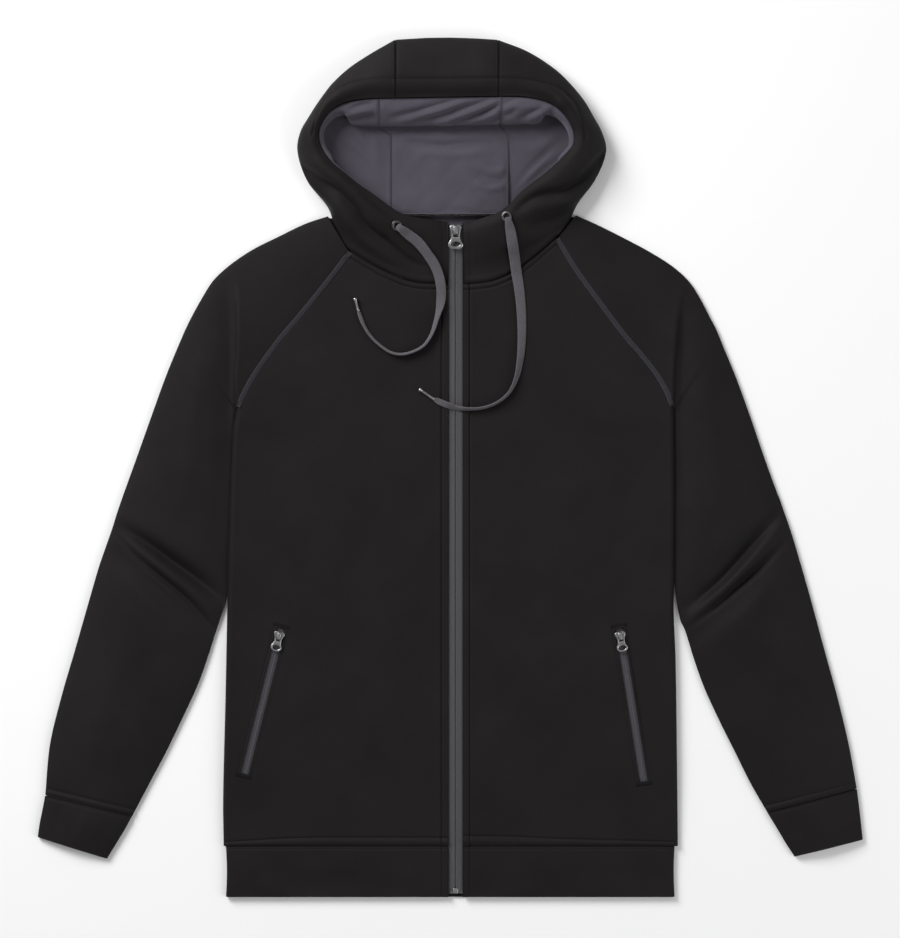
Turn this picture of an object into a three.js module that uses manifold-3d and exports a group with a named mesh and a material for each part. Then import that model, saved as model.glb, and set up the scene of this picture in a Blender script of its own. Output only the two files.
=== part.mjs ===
// Zip up hoodie, laid flat on its back, front up.
// Millimetres. +X to the wearer's left, +Y towards the hood, +Z up from the surface.
// Origin on the surface, under the zip line, halfway between the hem and the top of the hood.

import * as THREE from 'three';
import { mergeVertices } from 'three/addons/utils/BufferGeometryUtils.js';
import Module from 'manifold-3d';

const wasm = await Module();
wasm.setup();

// Driving dimensions

const SEAM_GAP = 0.3; // space between two pieces where they are sewn together
const CLOTH = 1.6; // thickness of the shell cloth
const LINING = 1.2; // thickness of the hood's lining
const RIB = 2.0; // thickness of the waistband and the cuffs
const FLOOR_MID = CLOTH / 2; // mid height of shell cloth that lies on the surface

const HEM_SEAM_Y = -397; // seam between the body and the waistband
const HEM_Y = -450.5; // lower edge of the waistband
const FRONT_MID = 4.6; // mid height of the front panels where they lie flat
const SIDE_SEAM_MID = 2.7; // mid height of a front edge over the back edge it is sewn to
const SIDE_PUFF = 4.2; // how much the front stands up along its side fold
const SIDE_PUFF_REACH = 28; // how far in from the fold that puff dies away
const PLACKET_RISE = 1.0; // the doubled cloth along the zip
const FRONT_EDGE_X = 7.3; // edge of a front panel beside the zip
const PLACKET_X = 13.0; // where the doubled cloth ends
const PLACKET_FOOT_X = 15.5;

const TUBE_EDGE_RADIUS = 2.5; // outer radius of a sleeve's folded edge
const NECK_GAP = 1.1; // hood to body, measured along Y

const TAPE = 1.1; // thickness of the zip tape
const TAPE_HALF = 12.4; // width of one tape
const TAPE_UNDER = 1.75; // how far the tape's mid lies under the mid of the cloth beside it

// One garment side each. x is the distance from the zip line.
// neck: front neck seam. raglan: seam between front and sleeve. side: side seam, top to hem.
// fold: the standing fold in the sleeve above the side seam.
const SIDES = {
  right: {
    sign: -1,
    neck: [[7, 194], [23, 194], [40, 195], [56, 199], [72, 206], [91, 216], [110, 228]],
    raglan: [[110, 228], [137, 193], [163, 161], [185, 135], [204, 109], [216, 90], [225, 72], [230, 60]],
    side: [[-397, 243], [-348, 243.5], [-243, 241], [-144, 239], [-33, 236], [39, 233], [60, 230],
      [93, 232], [119, 230], [160, 230], [190, 232], [208, 236], [300, 240]],
    foldTop: 207,
    backRaglanTop: 100,
    shoulder: [[134, 264.5], [158, 256.5], [186, 243], [213, 229.5], [236, 214], [254, 197.5], [266, 179],
      [276, 161], [283, 147], [290, 131]],
    // Below the armhole: inner point, outer point and how much the sleeve stands up in between.
    sleeve: [
      { name: 'upper arm', inX: 231.5, inY: 34, outX: 304, outY: 97, puff: 6.0 },
      { name: 'upper arm', inX: 234, inY: 2, outX: 320, outY: 53, puff: 6.5 },
      { name: 'upper arm', inX: 236, inY: -34, outX: 336, outY: 8, puff: 7.0 },
      { name: 'upper arm', inX: 238, inY: -72, outX: 349, outY: -28, puff: 7.5 },
      { name: 'over the elbow', inX: 239, inY: -112, outX: 356.5, outY: -50, puff: 7.8 },
      { name: 'elbow trough', inX: 240.5, inY: -137, outX: 359.5, outY: -60, puff: 3.6 },
      { name: 'elbow ridge', inX: 247, inY: -158, outX: 362.5, outY: -69, puff: 8.2 },
      { name: 'elbow trough', inX: 253, inY: -176, outX: 366, outY: -79, puff: 4.4 },
      { name: 'under the elbow', inX: 259, inY: -195, outX: 374, outY: -102, puff: 7.8 },
      { name: 'forearm', inX: 270, inY: -226, outX: 386, outY: -143, puff: 8.2 },
      { name: 'forearm', inX: 287, inY: -263, outX: 400, outY: -192, puff: 8.6 },
      { name: 'forearm', inX: 304, inY: -298, outX: 414, outY: -240, puff: 9.0 },
      { name: 'forearm', inX: 321, inY: -330, outX: 426, outY: -290, puff: 8.6 },
      { name: 'cuff seam', inX: 339.5, inY: -365, outX: 431, outY: -343.5, puff: 6.0 },
    ],
    cuff: [
      { name: 'cuff seam', inX: 339.6, inY: -365.4, outX: 431.1, outY: -343.9, puff: 5.6 },
      { name: 'cuff', inX: 349, inY: -382, outX: 434, outY: -359, puff: 5.8 },
      { name: 'cuff', inX: 358, inY: -397, outX: 437, outY: -374, puff: 5.4 },
      { name: 'cuff edge', inX: 366.2, inY: -410.2, outX: 438.9, outY: -387.6, puff: 4.2 },
    ],
  },
  left: {
    sign: 1,
    neck: [[7, 193], [22, 194.2], [39, 197], [58, 205], [76, 217], [91, 230], [106, 243]],
    raglan: [[106, 243], [125, 211], [153, 172], [178, 139], [196, 118], [212, 97], [223, 77], [229, 60]],
    side: [[-397, 233], [-306, 232], [-201, 230.5], [-150, 228.5], [-114, 229], [-12, 229.5], [60, 229],
      [107, 230], [133, 232], [160, 235], [177, 238], [191, 239], [300, 242]],
    foldTop: 190,
    backRaglanTop: 100,
    shoulder: [[126.5, 265.5], [150, 255], [178, 241], [205, 226.5], [229, 211], [246, 195], [258, 176],
      [267, 158.5], [274, 145], [281, 128]],
    sleeve: [
      { name: 'upper arm', inX: 230, inY: 34, outX: 295, outY: 94, puff: 6.0 },
      { name: 'upper arm', inX: 230.4, inY: 2, outX: 311, outY: 50, puff: 6.5 },
      { name: 'upper arm', inX: 230.2, inY: -30, outX: 324, outY: 12, puff: 7.0 },
      { name: 'upper arm', inX: 230, inY: -66, outX: 336, outY: -21, puff: 7.5 },
      { name: 'over the elbow', inX: 229.6, inY: -118, outX: 341, outY: -34, puff: 7.8 },
      { name: 'elbow trough', inX: 236, inY: -159, outX: 344, outY: -43, puff: 3.4 },
      { name: 'elbow ridge', inX: 240.5, inY: -169, outX: 349, outY: -57, puff: 8.0 },
      { name: 'elbow trough', inX: 244.5, inY: -181, outX: 354, outY: -72, puff: 4.6 },
      { name: 'under the elbow', inX: 250, inY: -199, outX: 362, outY: -99, puff: 7.8 },
      { name: 'forearm', inX: 261, inY: -230, outX: 374, outY: -141, puff: 8.2 },
      { name: 'forearm', inX: 277, inY: -265, outX: 387.5, outY: -191, puff: 8.6 },
      { name: 'forearm', inX: 294, inY: -299, outX: 401, outY: -240, puff: 9.0 },
      { name: 'forearm', inX: 310, inY: -331, outX: 413, outY: -290, puff: 8.6 },
      { name: 'cuff seam', inX: 327.5, inY: -361.5, outX: 421.5, outY: -336.5, puff: 6.0 },
    ],
    cuff: [
      { name: 'cuff seam', inX: 327.6, inY: -361.9, outX: 421.6, outY: -336.9, puff: 5.6 },
      { name: 'cuff', inX: 338, inY: -379, outX: 424, outY: -356, puff: 5.8 },
      { name: 'cuff', inX: 347, inY: -394, outX: 426, outY: -373, puff: 5.4 },
      { name: 'cuff edge', inX: 356.3, inY: -408.1, outX: 427.8, outY: -390.3, puff: 4.2 },
    ],
  },
};

// Hood sections from the zip round the collar and the side up to the centre strip's seam.
// Each runs from the face opening's rim over the crest and the outline to the seam at its end.
// turn: 0 where the lining follows the shell, 1 where it is tucked down to the surface.
// band: how far the lining rolls into the opening.
// neckInset: how far the lining's neck edge lies inside the shell's where the seam turns down.
// inset: share of the way to the opening's middle that the lining keeps from a steep shell.
const HOOD = {
  right: [
    { rim: [7.3, 258, 12], crest: [7.3, 247, 13.6], side: [7.3, 226, 10.2], under: [7.3, 209, 7],
      end: [7.3, 194, 5.4], turn: 0, band: 0 },
    { rim: [26, 260.5, 17], crest: [27, 250, 19.5], side: [32, 229, 15.5], under: [36, 211, 8.6],
      end: [40, 195, 5.4], turn: 0, band: 0 },
    { rim: [57, 267, 24], crest: [60, 257, 26.5], side: [65, 238, 21], under: [69, 220, 11.5],
      end: [72, 206, 5.6], turn: 0, band: 0 },
    { rim: [85, 286, 28], crest: [89, 276, 31], side: [97, 255, 24.5], under: [104, 240, 13],
      end: [110, 228, 6.2], turn: 0, band: 0 },
    { rim: [109, 303, 30], crest: [114, 294, 33], side: [122, 275, 26], under: [124, 260, 13.5],
      end: [122.5, 249.5, 6], turn: 0, band: 0, inset: 0.035 },
    { rim: [122, 314, 30.5], crest: [128, 306, 33.5], side: [137, 285, 18], under: [134, 275, 5.5],
      end: [129, 268.8, 2.4], turn: 0.5, band: 3, inset: 0.06, neckInset: 11 },
    { rim: [133, 324, 30.5], crest: [140, 319, 33.5], side: [154, 301, 15], under: [147, 296, 1.2],
      end: [92, 266.9, 0.8], turn: 1, band: 4, neckInset: 3 },
    { rim: [142, 339, 29], crest: [150, 338, 32.5], side: [165, 333, 15], under: [157, 331, 1.2],
      end: [63.5, 276, 0.8], turn: 1, band: 5 },
    { rim: [143.5, 352, 28], crest: [150, 354, 32], side: [162, 352, 15], under: [154, 350, 1.2],
      end: [63.5, 312, 0.8], turn: 1, band: 5 },
    { rim: [140, 362, 28], crest: [144, 367, 32], side: [153, 368, 15], under: [145, 364, 1.2],
      end: [63.5, 345, 0.8], turn: 1, band: 6 },
    { rim: [134, 371, 28], crest: [136, 380, 32], side: [142, 385, 15], under: [135, 379, 1.2],
      end: [63.5, 374, 0.8], turn: 1, band: 9 },
    { rim: [125, 378, 28], crest: [124, 390, 32], side: [129, 402, 15], under: [123, 395, 1.2],
      end: [63.5, 397, 0.8], turn: 1, band: 15 },
    { rim: [111, 383.5, 28], crest: [110, 398, 32], side: [112, 418, 15], under: [107, 410, 1.2],
      end: [63.5, 416, 0.8], turn: 1, band: 23 },
    { rim: [90, 386.5, 28], crest: [87, 406, 32.5], side: [88, 434, 14.5], under: [85, 426, 1.2],
      end: [63.5, 430, 0.8], turn: 1, band: 27 },
    { rim: [63.5, 387, 28], crest: [63.5, 409, 33], side: [63.5, 448, 14], under: [63.5, 442, 1.2],
      end: [63.5, 436, 0.8], turn: 1, band: 28 },
  ],
  left: [
    { rim: [7.3, 257, 12], crest: [7.3, 246, 13.6], side: [7.3, 225, 10.2], under: [7.3, 208, 7],
      end: [7.3, 193, 5.4], turn: 0, band: 0 },
    { rim: [22, 260, 17], crest: [24, 250, 19.5], side: [31, 229, 15.5], under: [35, 212, 8.6],
      end: [39, 197, 5.4], turn: 0, band: 0 },
    { rim: [48, 269.5, 24], crest: [53, 261, 26.5], side: [64, 244, 21], under: [71, 229, 11.5],
      end: [76, 217, 5.6], turn: 0, band: 0 },
    { rim: [71, 291, 27], crest: [78, 284, 30], side: [92, 267, 24], under: [101, 253, 13],
      end: [106, 243, 6.2], turn: 0, band: 0 },
    { rim: [93, 308, 29], crest: [100, 301, 32], side: [114, 281, 25.5], under: [118, 266, 13.5],
      end: [115.5, 255.5, 6], turn: 0, band: 0, inset: 0.035 },
    { rim: [104, 318, 30], crest: [112, 312, 33], side: [130, 288, 18], under: [127, 277, 5.5],
      end: [122, 269, 2.4], turn: 0.5, band: 3, inset: 0.06, neckInset: 11 },
    { rim: [113, 325, 30], crest: [122, 321, 33], side: [144, 301, 15], under: [138, 297, 1.2],
      end: [88, 266.9, 0.8], turn: 1, band: 4, neckInset: 3 },
    { rim: [123.5, 338, 29], crest: [133, 338, 32.5], side: [157, 333, 15], under: [150, 331, 1.2],
      end: [44.2, 276, 0.8], turn: 1, band: 5 },
    { rim: [124, 350, 28], crest: [132, 353, 32], side: [153, 351, 15], under: [146, 349, 1.2],
      end: [44.2, 312, 0.8], turn: 1, band: 5 },
    { rim: [120, 361, 28], crest: [125, 367, 32], side: [144, 368, 15], under: [137, 364, 1.2],
      end: [44.2, 345, 0.8], turn: 1, band: 6 },
    { rim: [113, 371, 28], crest: [115, 381, 32], side: [134, 385, 15], under: [127, 379, 1.2],
      end: [44.2, 374, 0.8], turn: 1, band: 9 },
    { rim: [104, 379, 28], crest: [104, 391, 32], side: [120, 402, 15], under: [114, 395, 1.2],
      end: [44.2, 397, 0.8], turn: 1, band: 15 },
    { rim: [90, 385, 28], crest: [89, 400, 32], side: [103, 418, 15], under: [98, 410, 1.2],
      end: [44.2, 416, 0.8], turn: 1, band: 23 },
    { rim: [69, 388.5, 28], crest: [67, 408, 32.5], side: [75, 436, 14.5], under: [72, 428, 1.2],
      end: [44.2, 431, 0.8], turn: 1, band: 27 },
    { rim: [44.2, 389, 28], crest: [44.2, 411, 33], side: [44.2, 448, 14], under: [44.2, 442, 1.2],
      end: [44.2, 436, 0.8], turn: 1, band: 28 },
  ],
};
const HOOD_STATIONS = 23;
const HOOD_STEPS = 10;
const NEAR_FLOOR = 2; // a hood section below this height has reached the surface
const HOOD_TOP_Y = 450.3; // outline of the centre strip at its middle
const BACK_NECK_Y = 266.3;
const OPENING_CENTRE = [-9, 325]; // middle of the face opening
const LINING_LIFT = 0.8; // the lining's neck edge lies this much higher where the seam turns down
const LINING_SEAM_SHIFT = { right: 5, left: 11 }; // from the shell's back seam out to the lining's
const LINING_ROOF_SEAM = { right: 80.6, left: 47.5 }; // the same seam on the lining's roll, from the zip line
const LINING_NECK_SHIFT = 5; // from the shell's neck edge in to the lining's, beside the back seam
const LINING_BACK_FOOT = [268, 350]; // lower and upper end of the back seam on the surface
const LINING_STATIONS = 17;
const LINING_STEPS = 13;
const LAST_NECK_ROW = 4; // the last hood section whose end is sewn to a front
const FIRST_BACK_ROW = 7; // the first one that ends on the back seam
const ROOF_BAND = [10, 26]; // depth of the lining's roll where the sides turn into the roof
const LINING_UNDER = 2.4; // lining mid under shell mid in the collar
const LINING_IN_NECK = 5.3; // how far the lining's front neck edge lies inside the shell's
const LINING_FLOOR_MID = CLOTH + SEAM_GAP + LINING / 2;
const LEVEL = 0.5; // a normal with more than this much Z belongs to a wall that lies nearly level

// Small shared helpers

const clamp01 = (value) => Math.min(1, Math.max(0, value));
const mix = (a, b, t) => a + (b - a) * t;
const mixPoint = (a, b, t) => a.map((value, axis) => mix(value, b[axis], t));

function ease(from, to, value) {
  const t = clamp01((value - from) / (to - from));
  return t * t * (3 - 2 * t);
}

// Value of a smooth curve through [key, value] rows whose keys rise.
function lookup(rows, key) {
  const last = rows.length - 1;
  let i = rows.findIndex((row) => row[0] >= key);
  i = i < 0 ? last : Math.max(1, i);
  const slope = (k) => {
    const a = rows[Math.max(0, k - 1)];
    const b = rows[Math.min(last, k + 1)];
    return (b[1] - a[1]) / (b[0] - a[0]);
  };
  const span = rows[i][0] - rows[i - 1][0];
  const t = clamp01((key - rows[i - 1][0]) / span);
  const t2 = t * t;
  const t3 = t2 * t;
  return (2 * t3 - 3 * t2 + 1) * rows[i - 1][1] + (t3 - 2 * t2 + t) * span * slope(i - 1)
    + (3 * t2 - 2 * t3) * rows[i][1] + (t3 - t2) * span * slope(i);
}

function smoothCurve(points) {
  return new THREE.CatmullRomCurve3(points.map((p) => new THREE.Vector3(...p)), false, 'centripetal');
}

// A closed wall between two grids of points. pair(i, j) gives the outer and the inner point.
function wall(rows, columns, pair) {
  const outer = [];
  const inner = [];
  for (let i = 0; i < rows; i += 1) {
    for (let j = 0; j < columns; j += 1) {
      const [out, inn] = pair(i, j);
      outer.push(out);
      inner.push(inn);
    }
  }
  const count = rows * columns;
  const at = (i, j) => i * columns + j;
  const faces = [];
  const quad = (a, b, c, d) => faces.push(a, b, c, a, c, d);
  for (let i = 0; i < rows - 1; i += 1) {
    for (let j = 0; j < columns - 1; j += 1) {
      quad(at(i, j), at(i + 1, j), at(i + 1, j + 1), at(i, j + 1));
      quad(count + at(i, j), count + at(i, j + 1), count + at(i + 1, j + 1), count + at(i + 1, j));
    }
  }
  const border = [];
  for (let i = 0; i < rows - 1; i += 1) border.push(at(i, 0));
  for (let j = 0; j < columns - 1; j += 1) border.push(at(rows - 1, j));
  for (let i = rows - 1; i > 0; i -= 1) border.push(at(i, columns - 1));
  for (let j = columns - 1; j > 0; j -= 1) border.push(at(0, j));
  border.forEach((a, k) => {
    const b = border[(k + 1) % border.length];
    quad(b, a, count + a, count + b);
  });
  return solidGeometry([...outer, ...inner], faces);
}

// Geometry from points and triangles, turned so that its faces point out.
function solidGeometry(points, faces) {
  let volume = 0;
  for (let k = 0; k < faces.length; k += 3) {
    const [a, b, c] = [points[faces[k]], points[faces[k + 1]], points[faces[k + 2]]];
    volume += a[0] * (b[1] * c[2] - b[2] * c[1]) - a[1] * (b[0] * c[2] - b[2] * c[0])
      + a[2] * (b[0] * c[1] - b[1] * c[0]);
  }
  const geometry = new THREE.BufferGeometry();
  geometry.setAttribute('position', new THREE.Float32BufferAttribute(points.flat(), 3));
  geometry.setIndex(volume < 0 ? faces.slice().reverse() : faces);
  geometry.computeVertexNormals();
  return geometry;
}

// A wall whose mid surface is a grid of points, thickened along its own normals.
// Its sewn edge, the last column, is cut upright where the wall lies nearly level.
function offsetWall(grid, thickness, outward) {
  const rows = grid.length;
  const columns = grid[0].length;
  const vector = (i, j) => new THREE.Vector3(...grid[i][j]);
  const normal = (i, j) => {
    const along = vector(Math.min(rows - 1, i + 1), j).sub(vector(Math.max(0, i - 1), j));
    const across = vector(i, Math.min(columns - 1, j + 1)).sub(vector(i, Math.max(0, j - 1)));
    return along.cross(across).normalize().multiplyScalar(outward);
  };
  return wall(rows, columns, (i, j) => {
    const sewn = j === columns - 1;
    const own = normal(i, sewn ? j - 1 : j);
    const n = sewn && Math.abs(own.z) > LEVEL ? new THREE.Vector3(0, 0, Math.sign(own.z)) : own;
    const mid = vector(i, j);
    return [1, -1].map((way) => mid.clone().addScaledVector(n, (way * thickness) / 2).toArray());
  });
}

function toManifold(geometry) {
  const bare = geometry.clone();
  bare.deleteAttribute('normal');
  bare.deleteAttribute('uv');
  const merged = mergeVertices(bare, 1e-4);
  return new wasm.Manifold(new wasm.Mesh({
    numProp: 3,
    vertProperties: Float32Array.from(merged.attributes.position.array),
    triVerts: Uint32Array.from(merged.index.array),
  }));
}

function fromManifold(solid) {
  const mesh = solid.getMesh();
  const geometry = new THREE.BufferGeometry();
  geometry.setAttribute('position', new THREE.Float32BufferAttribute(mesh.vertProperties, 3));
  geometry.setIndex(new THREE.Uint32BufferAttribute(mesh.triVerts, 1));
  geometry.computeVertexNormals();
  return geometry;
}

function joined(first, ...others) {
  return fromManifold(others.reduce((sum, next) => sum.add(toManifold(next)), toManifold(first)));
}

function cutAway(geometry, ...tools) {
  return fromManifold(tools.reduce((rest, tool) => rest.subtract(toManifold(tool)), toManifold(geometry)));
}

// Body panels

// Distance of the side seam, and of the sleeve's fold above it, from the zip line.
const sideX = (side, y) => lookup(side.side, y);

// How much the front stands up beside its side fold. Nothing outside the fold.
function sidePuff(side, x, y) {
  const inside = sideX(side, y) - x;
  if (inside < 0.5) return 0;
  const fade = (1 - ease(side.foldTop - 60, side.foldTop + 8, y)) * (0.25 + 0.75 * ease(-410, -300, y));
  return SIDE_PUFF * fade * Math.exp(-inside / SIDE_PUFF_REACH);
}

function frontMid(side, x, y) {
  const placket = PLACKET_RISE * (1 - ease(PLACKET_X, PLACKET_FOOT_X, x));
  return FRONT_MID + placket + sidePuff(side, x, y);
}

// Points of the front panel's upper edge, from the zip along the neck and the raglan seam.
const NECK_X = [FRONT_EDGE_X, PLACKET_X, PLACKET_FOOT_X, 27, 40, 56, 73, 91];
const RAGLAN_STEPS = [0.16, 0.32, 0.47, 0.61, 0.74, 0.85, 0.93, 0.985, 1];

const BACK_RAGLAN = [[150, 188], [198, 120]]; // the raglan seam of the back, between its ends

function raglanPoints(side) {
  const [top, end] = [side.raglan[0], side.raglan[side.raglan.length - 1]];
  return [0, ...RAGLAN_STEPS].map((t) => {
    const x = mix(top[0], end[0], t);
    return [x, lookup(side.raglan, x)];
  });
}

function backRaglanPoints(side) {
  const [endX, endY] = side.raglan[side.raglan.length - 1];
  const curve = [[side.backRaglanTop, BACK_NECK_Y - 0.6], ...BACK_RAGLAN, [endX, endY]];
  return [0, ...RAGLAN_STEPS].map((t) => {
    const x = mix(side.backRaglanTop, endX, t);
    return [x, lookup(curve, x)];
  });
}

function frontPanel(side) {
  const top = [...NECK_X.map((x) => [x, lookup(side.neck, x)]), ...raglanPoints(side)];
  const hem = HEM_SEAM_Y + SEAM_GAP / 2;
  const rows = 16;
  return wall(rows, top.length, (i, j) => {
    const [topX, topY] = top[j];
    const y = mix(hem, topY, i / (rows - 1));
    const share = (topX - FRONT_EDGE_X) / (sideX(side, topY) - FRONT_EDGE_X);
    const x = mix(FRONT_EDGE_X, sideX(side, y), share);
    const mid = j === top.length - 1 ? SIDE_SEAM_MID : frontMid(side, x, y);
    return [1, -1].map((way) => [side.sign * x, y, mid + (way * CLOTH) / 2]);
  });
}

function backPanel() {
  const { right, left } = SIDES;
  const neck = [-70, -35, 0, 35, 70].map((x) => [x, BACK_NECK_Y - 2 * SEAM_GAP]);
  const top = [
    ...backRaglanPoints(right).reverse().map(([x, y]) => [-x, y]),
    ...neck,
    ...backRaglanPoints(left),
  ];
  const hem = HEM_SEAM_Y + SEAM_GAP / 2;
  const rows = 8;
  return wall(rows, top.length, (i, j) => {
    const [topX, topY] = top[j];
    const y = mix(hem, topY, i / (rows - 1));
    const edges = (at) => [-sideX(right, at), sideX(left, at)];
    const [a, b] = edges(topY);
    const share = (topX - a) / (b - a);
    const x = mix(...edges(y), share);
    return [[x, y, 0], [x, y, CLOTH]];
  });
}

// Sleeves and cuffs: flattened tubes, cut along the inner seam

const FRONT_COLUMNS = 9;
const BACK_COLUMNS = 3;
const EDGE_ANGLES = [45, 0, -45];
const RAGLAN_GAP = 0.4; // from each raglan seam to the edge of the sleeve
const RAGLAN_PUFF = [1.5, 5.5]; // how high the sleeve stands at the neck and at the underarm
const UNDERARM = { low: -150, gap: 0.7 }; // above this height the sleeve lies beside the side seam

// Rows of a sleeve: front inner point, outer point, back inner point.
function sleeveRows(side) {
  const front = raglanPoints(side);
  const back = backRaglanPoints(side);
  const apart = (points, k) => {
    const [a, b] = [points[Math.max(0, k - 1)], points[Math.min(points.length - 1, k + 1)]];
    const scale = RAGLAN_GAP / Math.hypot(b[0] - a[0], b[1] - a[1]);
    return [points[k][0] - (b[1] - a[1]) * scale, points[k][1] + (b[0] - a[0]) * scale];
  };
  const neckEnd = [[1.6, -0.4], [0.5, -1.2]]; // the sleeve's neck edge keeps clear of the hood
  const rows = front.map((point, k) => {
    const share = k / (front.length - 1);
    const shift = k === 0 ? neckEnd : [[0, 0], [0, 0]];
    return {
      inner: apart(front, k).map((value, axis) => value + shift[0][axis]),
      outer: side.shoulder[k],
      back: apart(back, k).map((value, axis) => value + shift[1][axis]),
      puff: mix(...RAGLAN_PUFF, share),
      innerMid: k === front.length - 1 ? SIDE_SEAM_MID : FRONT_MID,
    };
  });
  side.sleeve.forEach((row) => {
    const beside = row.inY > UNDERARM.low ? UNDERARM.gap : 0;
    const inner = [Math.max(row.inX, sideX(side, row.inY) + beside), row.inY];
    rows.push({ inner, outer: [row.outX, row.outY], back: inner, puff: row.puff, innerMid: SIDE_SEAM_MID });
  });
  return rows;
}

// Shares of a row's width at which the front layer has its columns, two of them at the fold.
function frontShares(side, row) {
  const even = (count, from, to) => Array.from({ length: count }, (_, k) => mix(from, to, (k + 1) / count));
  const width = Math.hypot(row.outer[0] - row.inner[0], row.outer[1] - row.inner[1]);
  let fold = 0;
  for (let t = 0; t < 1; t += 0.002) {
    const [x, y] = mixPoint(row.inner, row.outer, t);
    if (row.innerMid === FRONT_MID && x < sideX(side, y)) fold = t;
  }
  if (fold === 0) return [0, ...even(FRONT_COLUMNS - 1, 0, 1)];
  const inside = Math.max(fold - 0.2 / width, 1 / width);
  const at = Math.min(inside, 0.86);
  return [0, at * 0.4, at * 0.75, at, at + 1.6 / width, ...even(FRONT_COLUMNS - 5, at + 1.6 / width, 1)];
}

function tubeWall(side, rows, thickness) {
  const radius = TUBE_EDGE_RADIUS;
  const columns = FRONT_COLUMNS + EDGE_ANGLES.length + BACK_COLUMNS + 1;
  return wall(rows.length, columns, (i, j) => {
    const row = rows[i];
    const width = Math.hypot(row.outer[0] - row.inner[0], row.outer[1] - row.inner[1]);
    const out = [(row.outer[0] - row.inner[0]) / width, (row.outer[1] - row.inner[1]) / width];
    const place = ([x, y], z) => [side.sign * x, y, z];
    const onRow = (distance) => [row.inner[0] + out[0] * distance, row.inner[1] + out[1] * distance];
    if (j < FRONT_COLUMNS) {
      const share = frontShares(side, row)[j];
      const point = onRow(share * (width - radius));
      const edgeMid = 2 * radius - thickness / 2;
      const swell = row.puff * Math.sin(Math.PI * share) ** 0.7;
      const fold = row.innerMid === FRONT_MID ? sidePuff(side, ...point) : 0;
      const mid = mix(row.innerMid, edgeMid, share) + swell + fold;
      return [place(point, mid + thickness / 2), place(point, mid - thickness / 2)];
    }
    if (j < FRONT_COLUMNS + EDGE_ANGLES.length) {
      const angle = THREE.MathUtils.degToRad(EDGE_ANGLES[j - FRONT_COLUMNS]);
      return [radius, radius - thickness].map((r) => place(
        onRow(width - radius + r * Math.cos(angle)), radius + r * Math.sin(angle)));
    }
    const share = (j - FRONT_COLUMNS - EDGE_ANGLES.length) / BACK_COLUMNS;
    const point = mixPoint(onRow(width - radius), row.back, share);
    return [place(point, 0), place(point, thickness)];
  });
}

const cuffRows = (side) => side.cuff.map((row) => ({
  inner: [row.inX, row.inY],
  outer: [row.outX, row.outY],
  back: [row.inX, row.inY],
  puff: row.puff,
  innerMid: RIB * 1.5 + SEAM_GAP,
}));

// Waistband: one length from the zip round the back to the zip

const BAND_SIDE = { right: 241.2, left: 230.2 };
const BAND_EDGE_RADIUS = 3;
const BAND_COLUMNS = [FRONT_EDGE_X, 60, 120, 180];
const BAND_DRAWN_IN = 0.004; // share by which the band is narrower half way up

function waistband() {
  const radius = BAND_EDGE_RADIUS;
  const topMid = 2 * radius - RIB / 2;
  const across = [];
  const addFront = (sign, side) => [...BAND_COLUMNS, side - radius].map((x) => [
    [sign * x, topMid + RIB / 2], [sign * x, topMid - RIB / 2]]);
  const turn = (sign, side) => EDGE_ANGLES.map((degrees) => {
    const angle = THREE.MathUtils.degToRad(degrees);
    return [radius, radius - RIB].map((r) => [
      sign * (side - radius + r * Math.cos(angle)), radius + r * Math.sin(angle)]);
  });
  across.push(...addFront(-1, BAND_SIDE.right), ...turn(-1, BAND_SIDE.right));
  for (let k = 0; k <= 8; k += 1) {
    const x = mix(-(BAND_SIDE.right - radius), BAND_SIDE.left - radius, k / 8);
    across.push([[x, 0], [x, RIB]]);
  }
  across.push(...turn(1, BAND_SIDE.left).reverse(), ...addFront(1, BAND_SIDE.left).reverse());
  const rows = 5;
  return wall(rows, across.length, (i, j) => {
    const share = i / (rows - 1);
    const y = mix(HEM_SEAM_Y - SEAM_GAP / 2, HEM_Y, share);
    const narrow = 1 - BAND_DRAWN_IN * Math.sin(Math.PI * share);
    return across[j].map(([x, z]) => [x * narrow, y, z]);
  });
}

// Hood

const HOOD_KEYS = ['rim', 'crest', 'side', 'under', 'end'];

const onSide = (side, [x, y, z]) => [side.sign * x, y, z];

// One hood section as points, its z kept at or above a floor height.
function section(points, steps, floorMid) {
  const curve = smoothCurve(points);
  return Array.from({ length: steps }, (_, k) => {
    const { x, y, z } = curve.getPoint(k / (steps - 1));
    return [x, y, Math.max(z, floorMid)];
  });
}

// Sections of one side of the hood at even steps between the rows of its table.
function blendedSections(rows, keys, stations) {
  const curves = keys.map((key) => smoothCurve(rows.map((row) => row[key])));
  return Array.from({ length: stations }, (_, k) => (
    curves.map((curve) => curve.getPoint(k / (stations - 1)).toArray())));
}

function hoodSideGrid(name) {
  const side = SIDES[name];
  const seamX = HOOD[name][HOOD[name].length - 1].end[0];
  const rows = HOOD[name].map((row, k) => {
    const frontNeck = k < 4;
    const end = frontNeck ? [row.end[0], row.end[1] + NECK_GAP, row.end[2]] : row.end;
    return { ...row, end };
  });
  return blendedSections(rows, HOOD_KEYS, HOOD_STATIONS).map((points, k) => {
    const seam = k === HOOD_STATIONS - 1 ? SEAM_GAP : 0;
    const line = section(points.map(([x, y, z]) => onSide(side, [x + seam, y, z])), HOOD_STEPS, FLOOR_MID);
    return line.map(([x, y, z]) => (
      z > NEAR_FLOOR ? [x, y, z] : onSide(side, [Math.max(Math.abs(x), seamX + SEAM_GAP), y, z])));
  });
}

function hoodSide(name) {
  return offsetWall(hoodSideGrid(name), CLOTH, SIDES[name].sign);
}

const ROOF_FOOT_Y = 432; // where the centre strip has come down to the surface
const BACK_ROWS = [380, 322, BACK_NECK_Y]; // the rows of points from there down to the neck

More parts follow.
